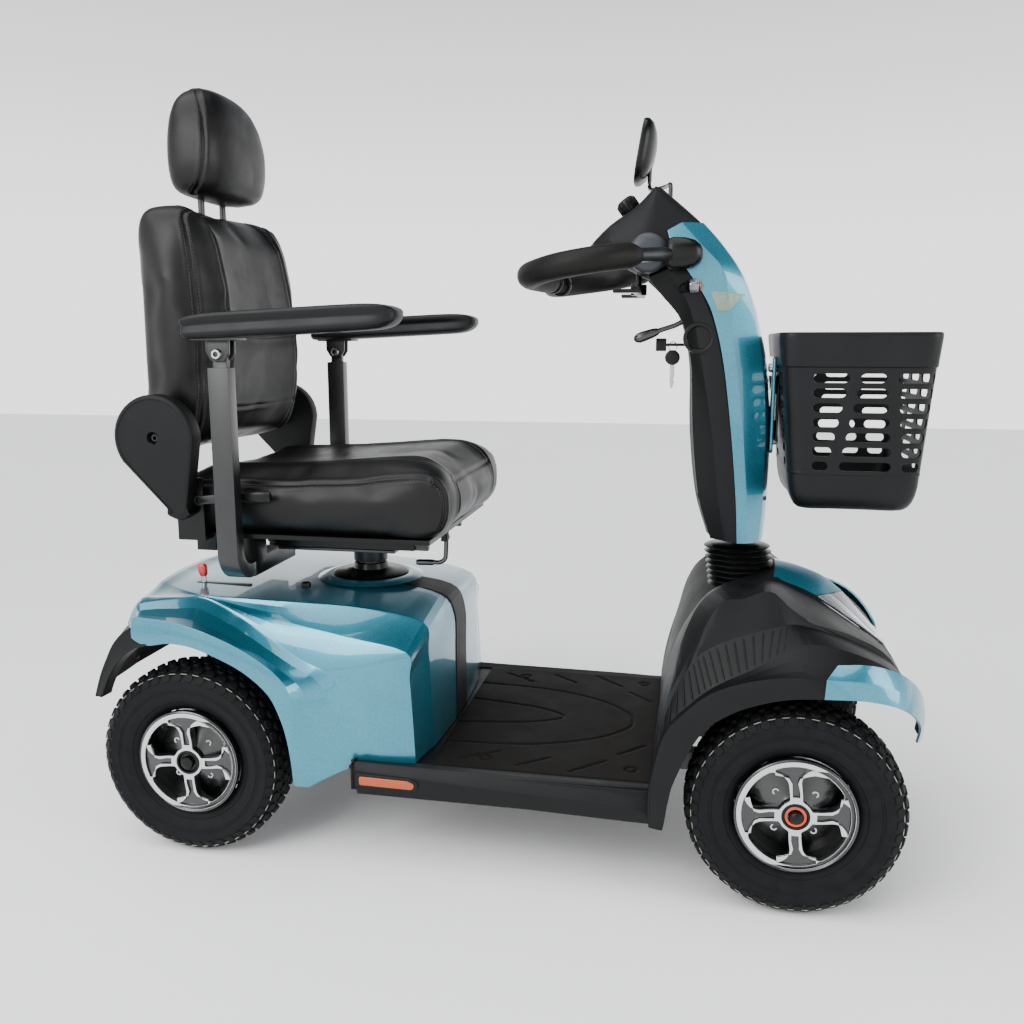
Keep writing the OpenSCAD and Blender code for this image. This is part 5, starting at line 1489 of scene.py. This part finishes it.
# %% Speed knob, tilt lever, keys
knob = lathe("knob", [(16.5, 0), (17, 1.5), (16.2, 17), (15, 20.5), (12.5, 22), (11.5, 20.8), (0.5, 20.8),
    (0.5, 0)], (0, 0, 0), 64)
painted(smooth_black, knob)
rib = pipe("rib", [(0, y, 16.6) for y in (1.5, 3, 16, 18.5)], [0.4, 1.5, 1.4, 0.4], 8)
knob_ribs = round_axle("knob_ribs", rib, 20, (0, 0, 0), smooth_black)
removed(rib)
knob = joined("speed_knob_ribbed", [knob, knob_ribs])
knob_up = Vector((-0.602, 0, 0.799))
knob.data.transform(Matrix.Translation((Vector((218, 0, 1106)) + knob_up * 2) * MM) @ Vector((0, 1,
    0)).rotation_difference(knob_up).to_matrix().to_4x4())
dress(knob, smooth_black, "speed_knob", "black_panel", "speed_knob", angle=40)
tilt = pipe("tilt_lever_handle", [(308, -32, 920), (296, -32, 914), (274, -32, 907), (270, -32, 905.5),
    (266, -32, 904), (258, -32, 901), (244, -32, 896), (236, -32, 893), (230, -32, 891), (227.5, -32, 890)],
            [4.2, 4.2, 4.2, 4.4, 6.5, 8, 9, 8.8, 6.0, 1.5], 28)
dress(tilt, gloss_black, "tilt_lever", "black_panel", "tilt_lever", angle=60)
from_cad("ignition_key_cut", "ignition_key", 0.8, smooth_black, "ignition_key", "key_steel")
key_head = disc("key_head", (293, 860), 13, -2.6, 2.6, 1.4)
painted(smooth_black, key_head)
key_ring = pipe("key_ring", [(293 + 7 * math.cos(a), 0, 879 + 8 * math.sin(a))
    for a in np.linspace(0, 2 * math.pi, 33)], 0.9, 10)
blade = plate("blade", rounded_outline([(289, 848), (297, 848), (297, 826), (295, 822), (297, 818),
    (295, 811), (293, 805), (290, 811), (289, 822)], 0.8, 3), -1.1, 1.1, 0.3)
painted(zinc, key_ring, blade)
dress(joined("spare_key_on_ring", [key_head, key_ring, blade]), smooth_black, "spare_key", "key_steel",
    "spare_key", angle=40)
from_cad("throttle_paddles", "throttle", 1.2, smooth_black, "throttle", "black_panel")
print("hand controls ready")

# %% Mirror
mirror_mid, mirror_low, mirror_high = middle("mirror_head")
glass_half, glass_tall = (mirror_high[1] - mirror_low[1]) / 2, (mirror_high[2] - mirror_low[2]) / 2


def mirror_ring(depth, scale):
    """A ring of the shell: a rounded oblong, leaning back at the top."""
    return [(mirror_mid[0] + depth + z * scale * 0.16, mirror_mid[1] + y * scale, mirror_mid[2] + z * scale)
        for y, z in squircle(glass_half, glass_tall, 48, 3.4)]


shell = loft("shell", [mirror_ring(d, s) for d, s in ((-9, 0.93), (-12.0, 0.96), (-12.5, 0.985), (-9, 1.0),
    (-3, 0.985), (6, 0.86), (13, 0.62), (17, 0.34), (18.5, 0.1))])
glass = loft("glass", [mirror_ring(d, s) for d, s in ((-9.5, 0.925), (-10.8, 0.92), (-11.2, 0.9),
    (-11.5, 0.5), (-11.6, 0.05))])
painted(smooth_black, shell)
painted(silvered, glass)
dress(joined("mirror_shell_and_glass", [shell, glass]), smooth_black, "mirror_head", "mirror_shell",
    "mirror_head", angle=40)
from_cad("mirror_stem", "mirror_arm", 0.6, satin_black, "mirror_arm", "frame_paint")

# %% Bellows: eight sharp rings that lean back with the steering axis
bellows_rings = []
for k in range(8):
    share = k / 8
    for part, radius in ((0.0, 52), (0.28, 61), (0.42, 63.5), (0.56, 61), (0.9, 52)):
        up = share + part / 8
        bellows_rings.append([(431 - 17 * up + (radius - 6 * up) * math.cos(a),
            (radius - 6 * up) * 0.93 * math.sin(a), 460 + 78 * up - 10 * (0.5 - math.cos(a) * 0.5) * 0.2)
                              for a in even_turn(72)])
bellows = loft("steering_bellows", bellows_rings)
soften(bellows, 0.8, 2, 30)
dress(bellows, smooth_black, "steering", "gaiter_rubber", "gaiter", angle=60)
print("bellows ready")

# %% [markdown]
# ## Basket
# The basket is one thin moulding. Its slotted band is drawn flat first, as a strip as long as the way
# round the basket, with every slot a hole in it. The strip is cut across in many places and then wrapped
# round the tapering wall, so that the slots follow the corners.

# %% The slotted basket
BASKET_MID, BASKET_LOW, BASKET_TOP = (582, 0), 619, 897


def basket_section(z):
    """The wall's outline at a height: 160 points from the middle of the rear, with soft corners."""
    share = (z - BASKET_LOW) / (BASKET_TOP - BASKET_LOW)
    half_long, half_wide = 96 + 23 * share, 132 + 17 * share
    ring = np.array(rounded_outline([(half_long, -half_wide), (half_long, half_wide),
        (-half_long, half_wide), (-half_long, -half_wide)], 27, 12))
    ring = np.vstack([ring, ring[:1]])
    length = np.concatenate([[0], np.cumsum(np.linalg.norm(np.diff(ring, axis=0), axis=1))])
    ring = np.array([[np.interp(t, length, ring[:, c]) for c in (0, 1)]
        for t in np.linspace(0, length[-1], 160, endpoint=False)])
    ring = np.roll(ring, -112, axis=0)  # the strip starts in the middle of the rear, between two slots
    return ring + np.array((BASKET_MID[0] + 5 - 4 * share, 0))


def slot_ring(x, y, half, tall):
    """A slot with round ends, centred on (x, y)."""
    return [(x + sx * (half - tall) + tall * math.cos(a), y + tall * math.sin(a))
            for sx, first in ((1, -math.pi / 2), (-1, math.pi / 2))
            for a in np.linspace(first, first + math.pi, 7)]


def wrapped_wall(name, low, high, slots, wall=3.2):
    """A band of the basket from low to high with holes, wrapped round its sections."""
    around, tall = 960.0, high - low
    mesh = filled_curve(name, [[(0, 0), (around, 0), (around, tall), (0, tall)]] + slots,
        extrude=wall / 2 * MM)
    low_ring, high_ring = basket_section(low), basket_section(high)
    with edited(mesh) as shape:
        for cut in np.arange(6, around, 6):
            bmesh.ops.bisect_plane(shape, geom=shape.verts[:] + shape.edges[:] + shape.faces[:],
            plane_co=(cut * MM, 0, 0), plane_no=(1, 0, 0), dist=1e-7)
        for vert in shape.verts:
            x, y, depth = [c / MM for c in vert.co]
            at = x / around * 160
            first, part = int(at) % 160, at - int(at)
            second, share = (first + 1) % 160, y / tall
            ring = [low_ring[i] * (1 - share) + high_ring[i] * share for i in (first, second)]
            spot = ring[0] * (1 - part) + ring[1] * part
            away = spot - np.array((BASKET_MID[0], 0))
            spot = spot + away / np.linalg.norm(away) * (depth - wall / 2)
            vert.co = (spot[0] * MM, spot[1] * MM, (low + y) * MM)
        bmesh.ops.remove_doubles(shape, verts=shape.verts, dist=3e-5)
    return painted(basket_plastic, placed(name, mesh))


def basket_slots():
    """Seven rows. On each side three columns: the outer ones narrow downwards, the middle one widens."""
    out = []
    for row in range(7):
        y, drop = 156 - row * 23.1, row / 6
        sides = [(-50 - 11 * drop, 27 - 14 * drop), (11, 19 + 22 * drop), (76 + 7 * drop, 31 - 17 * drop)]
        ends = [(-76, 26 - 8 * drop), (-2, 30 + 8 * drop), (72, 26 - 8 * drop)]
        # the strip starts at the rear: rear, near side, front, far side
        for centre, columns, hand in ((-27, ends, 1), (933, ends, 1), (213, sides, 1), (453, ends, 1),
                (692, sides, -1)):
            out += [slot_ring(centre + hand * c, y, h, 7.2) for c, h in columns]
    return [slot for slot in out if 8 < min(x for x, _ in slot) and max(x for x, _ in slot) < 952]


slotted = wrapped_wall("slotted_wall", 675, 848, basket_slots())
rim_rings = [(848, 1.5), (849, 2.6), (893, 3.4), (898, 2.8), (901, 1.0), (901.5, -1.0), (900, -3.2),
    (894, -4.2), (848, -3.4), (846.5, -2.6)]
tub_rings = [(675, 0.0), (660, 0.2), (645, -2.0), (634, -6.0), (626, -12.0), (621, -20.0), (618.5, -32.0),
    (618, -60), (621.5, -60), (622, -32), (624.5, -21.5), (629, -14.5), (636, -9.0), (647, -5.2),
    (661, -3.2), (675, -3.2)]


def wall_ring(z, out):
    """The basket's outline at a height, moved outwards by some millimetres."""
    ring = basket_section(z)
    away = ring - np.array((BASKET_MID[0], 0))
    ring = ring + away / np.linalg.norm(away, axis=1)[:, None] * out
    return [(x, y, z) for x, y in ring]


rim = loft("rim", [wall_ring(z, out) for z, out in rim_rings] + [wall_ring(848, 1.5)], caps=False)
tub = loft("tub", [wall_ring(z, out) for z, out in tub_rings] + [wall_ring(675, 0.0)], caps=False)
floor_low = loft("basket_floor", [wall_ring(618.2, -60), wall_ring(618, -58), wall_ring(621.5, -58),
    wall_ring(621.3, -60)])
line_ring = loft("line", [wall_ring(z, out) for z, out in ((683, 0.2), (682, 0.9), (679, 0.9), (678, 0.2),
    (679, -0.6), (682, -0.6), (683, 0.2))], caps=False)
painted(basket_plastic, rim, tub, floor_low, line_ring)
basket = joined("slotted_basket", [slotted, rim, tub, floor_low, line_ring])
dress(basket, basket_plastic, "basket", "black_panel", "basket", angle=35)
clips = []
for z in (719, 843):
    for y in (-16, 16):
        clips.append(pipe("clip", [(x, y, z) for x in (456, 457, 466, 474, 475)], [4, 7, 7, 6, 3], 20))
painted(zinc, *clips)
dress(joined("basket_screws", clips), zinc, "tiller", "frame_paint")
from_cad("basket_hook_plate", "basket_bracket", 1.5, satin_black, "tiller", "frame_paint")
print(f"basket {len(basket.data.polygons)} faces")

# %% [markdown]
# ## Footboard
# The deck is a ribbed tray under a pebbled rubber mat. The mat has grooves: a big U open to the rear, a V
# inside it and short dashes at the corners. They are pressed in along guide lines on a fine grid.

# %% Deck mat with its grooves, skirt and reflectors
def pressed_mat(name, x0, x1, half, top, grooves, depth=2.4, width=2.6, pitch=2.5):
    """A flat mat with a fine grid on top, pushed down along each groove line."""
    xs, ys = np.arange(x0, x1 + 0.1, pitch), np.arange(-half, half + 0.1, pitch)
    gx, gy = np.meshgrid(xs, ys, indexing="ij")
    points = np.column_stack([gx.ravel(), gy.ravel()])
    lines = [smooth_line(groove, 6) if len(groove) > 2 else np.array(groove, float) for groove in grooves]
    best = np.minimum.reduce([distance_to(points, line) for line in lines]).reshape(gx.shape)
    height = top - depth * np.exp(-(best / width) ** 2)
    rim = np.minimum.reduce([gx - x0, xs[-1] - gx, gy + half, ys[-1] - gy])
    height -= 1.6 * np.exp(-rim / 1.5)
    mat = loft(name, np.dstack([gx, gy, height]), closed=False)
    face_out(mat)
    return change(mat, "SOLIDIFY", thickness=3.2 * MM, offset=-1.0)


outer_u = [(-85, -150), (60, -138), (170, -95), (228, -40), (240, 0), (228, 40), (170, 95), (60, 138),
    (-85, 150)]
inner_v = [(-85, -62), (40, -40), (92, -18), (108, 0), (92, 18), (40, 40), (-85, 62)]
dashes = [[(-40, -215), (20, -175)], [(60, -225), (110, -185)], [(150, -232), (205, -180)],
    [(225, -150), (268, -105)]]
plugs = [[(x + 9 * math.cos(a), y + 9 * math.sin(a)) for a in np.linspace(0, 2 * math.pi, 13)]
    for x in (0, 250) for y in (-205, 205)]
grooves = [outer_u, inner_v] + dashes + [[(x, -y) for x, y in d] for d in dashes] + plugs
mat = pressed_mat("grooved_deck_mat", -84, 288, 250, 185.2, grooves)
painted(deck_mat, mat)
skirt_low = [(-211, -279, 147), (-205, -279, 142), (-98, -278, 139.5), (40, -278, 136), (200, -278, 131),
    (280, -278, 129), (302, -278, 128)]
skirt_mid = [(-211, -280, 188), (-205, -281, 178), (-98, -281, 172), (40, -281, 164), (200, -281, 158),
    (262, -281, 152), (302, -281, 134)]
skirt_top = [(-209, -272, 191), (-205, -272, 190), (-98, -270, 187), (40, -268, 186), (200, -266, 185),
    (270, -262, 184.5), (302, -262, 184)]
skirt_in = [(-209, -248, 184), (-205, -248, 184), (-98, -248, 184), (40, -248, 184), (200, -248, 184),
    (270, -248, 184), (302, -248, 184)]
skirt = skin("skirt", [lifted(skirt_low, (0, 22, 0)), skirt_low, skirt_mid, skirt_top, skirt_in],
    [0, 0.3, 0.8, 0], wall=3.0, crease=2.0, mirrored=False)
far_skirt = flipped(skirt, "far_skirt")
tray = plate("tray", [(-208, 131), (294, 130), (294, 182), (-208, 182)], -272, 272, 2.0)
painted(grained, skirt, far_skirt, tray)
dress(joined("footboard_tray_and_mat", [mat, skirt, far_skirt, tray]), deck_mat, "chassis", "deck_rubber",
    "footboard", angle=40)
reflectors = []
for side in (-1, 1):
    outline = rounded_outline([(-205, 151), (-98, 150), (-96, 166), (-112, 171), (-205, 173)],
    [2, 6, 6, 6, 3])
    well = plate("well", outline, side * 276, side * 282.4, 1.0)
    face = plate("face", rounded_outline([(-199, 153.5), (-106, 152.5), (-102, 162), (-114, 167),
        (-199, 168.5)], [4, 7, 5, 4, 4]), side * 281, side * 284.2, 1.2)
    painted(smooth_black, well)
    painted(amber, face)
    reflectors += [well, face]
dress(joined("side_reflectors", reflectors), amber, "chassis", "amber_lens", "side_reflectors", angle=40)
print("footboard ready")

# %% Seat frame, back shell and seat fittings
tray_piece = from_cad("seat_tray", "seat_pan", 1.2, smooth_black, "seat", "frame_paint")
for vert in tray_piece.data.vertices:
    x, y, z = vert.co / MM
    if x > -400 and z > 530:
        vert.co = (min(x, -92) * MM, max(-216, min(216, y)) * MM, z * MM)
from_cad("swivel_plate_pressing", "swivel_plate", 1.5, satin_black, "swivel", "frame_paint")
shell_rows = [[(x, y, z) for y, x in ((-146, -604), (-150, -618), (-142, -624), (-110, -627), (0, -629),
    (110, -627), (142, -624), (150, -618), (146, -604))]
              for z in (712, 730, 800, 900, 980, 1020, 1035)]
back_shell = loft("back_shell", [[tuple(p) for p in smooth_line(row, 3)] for row in shell_rows], closed=False)
if sum(f.normal.x * f.area for f in back_shell.data.polygons) > 0:
    back_shell.data.flip_normals()
change(back_shell, "SOLIDIFY", thickness=4 * MM, offset=-1.0)
soften(back_shell, 1.2, 2)
dress(back_shell, grained, "back", "black_panel", "back_frame", angle=40)
post = turned("seat_post_tube", [(20, 175), (24, 176), (25, 180), (25, 500), (24, 512), (20, 516)],
    (-268, 0), satin_black)
dress(post, satin_black, "chassis", "frame_paint", "seat_post", angle=40)
print("seat fittings ready")

column = from_cad("tiller_inner_column", "tiller_column", 1.0, black_steel, "tiller", "steel_dark")
for vert in column.data.vertices:
    vert.co.y = max(-0.044, min(0.044, vert.co.y))
print("inner column ready")


# %% [markdown]
# ## CAD parts that stay as they are
# Frame, gearbox, batteries and steering are hidden under the panels. Their CAD shape is right, so they keep
# it and only get their own finish.

# %% Finishes for the CAD parts
KEPT = {"main_frame": satin_black, "transaxle": cast_alloy, "batteries": smooth_black,
    "knuckle_left": black_steel,
        "knuckle_right": black_steel, "track_rod": black_steel, "steering_shaft": black_steel}
for name, material in KEPT.items():
    painted(material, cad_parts[name])
print(f"{len(KEPT)} CAD parts finished")


# %% [markdown]
# ## The studio
# A plain pale floor and soft lamps, so that the parts show their own colour and grain.

# %% Floor and lamps
def soft_lamp(name, place, power, size):
    """A square soft box aimed at the middle of the scooter."""
    light = bpy.data.lights.new(name, "AREA")
    light.energy, light.size = power, size
    return aimed(name, light, place, Vector((0, 0, 0.5)) - Vector(place))


paper, paper_tree, paper_inputs, paper_place = finish("studio_floor", Roughness=0.9, Specular_IOR_Level=0.2)
paper_cloud = node(paper_tree, "ShaderNodeTexNoise", paper_place, {"Scale": 0.8}).outputs["Fac"]
node(paper_tree, "ShaderNodeValToRGB", {"Fac": paper_cloud}, stops=((0.3, "#fafafa"), (0.7, "#fdfdfd")),
     to=paper_inputs["Base Color"])
floor = mesh_piece("studio_floor", [(x, y, -0.2) for x, y in ((-9000, -9000), (9000, -9000), (9000, 9000),
    (-9000, 9000))],
                   [(0, 1, 2, 3)])
painted(paper, floor)
world = bpy.data.worlds.new("studio_air")
bpy.context.scene.world = world
world.use_nodes = True
air = world.node_tree
height = node(air, "ShaderNodeSeparateXYZ", {"Vector": node(air,
    "ShaderNodeTexCoord").outputs["Generated"]}).outputs["Z"]
background = air.nodes["Background"].inputs
node(air, "ShaderNodeValToRGB", {"Fac": height}, stops=((0.1, "#ffffff"), (0.6, "#3c434b")), to=background[0])
background[1].default_value = 2.1
soft_lamp("key_lamp", (-1.6, -2.6, 2.2), 70, 1.8)
soft_lamp("front_lamp", (3.0, -1.2, 1.6), 35, 1.4)
sun = bpy.data.lights.new("overhead_light", "SUN")
sun.energy, sun.angle = 3.6, 1.3
aimed("overhead_light", sun, (0, 0, 0), Vector((0.25, 0.3, -1)))
print("studio ready")
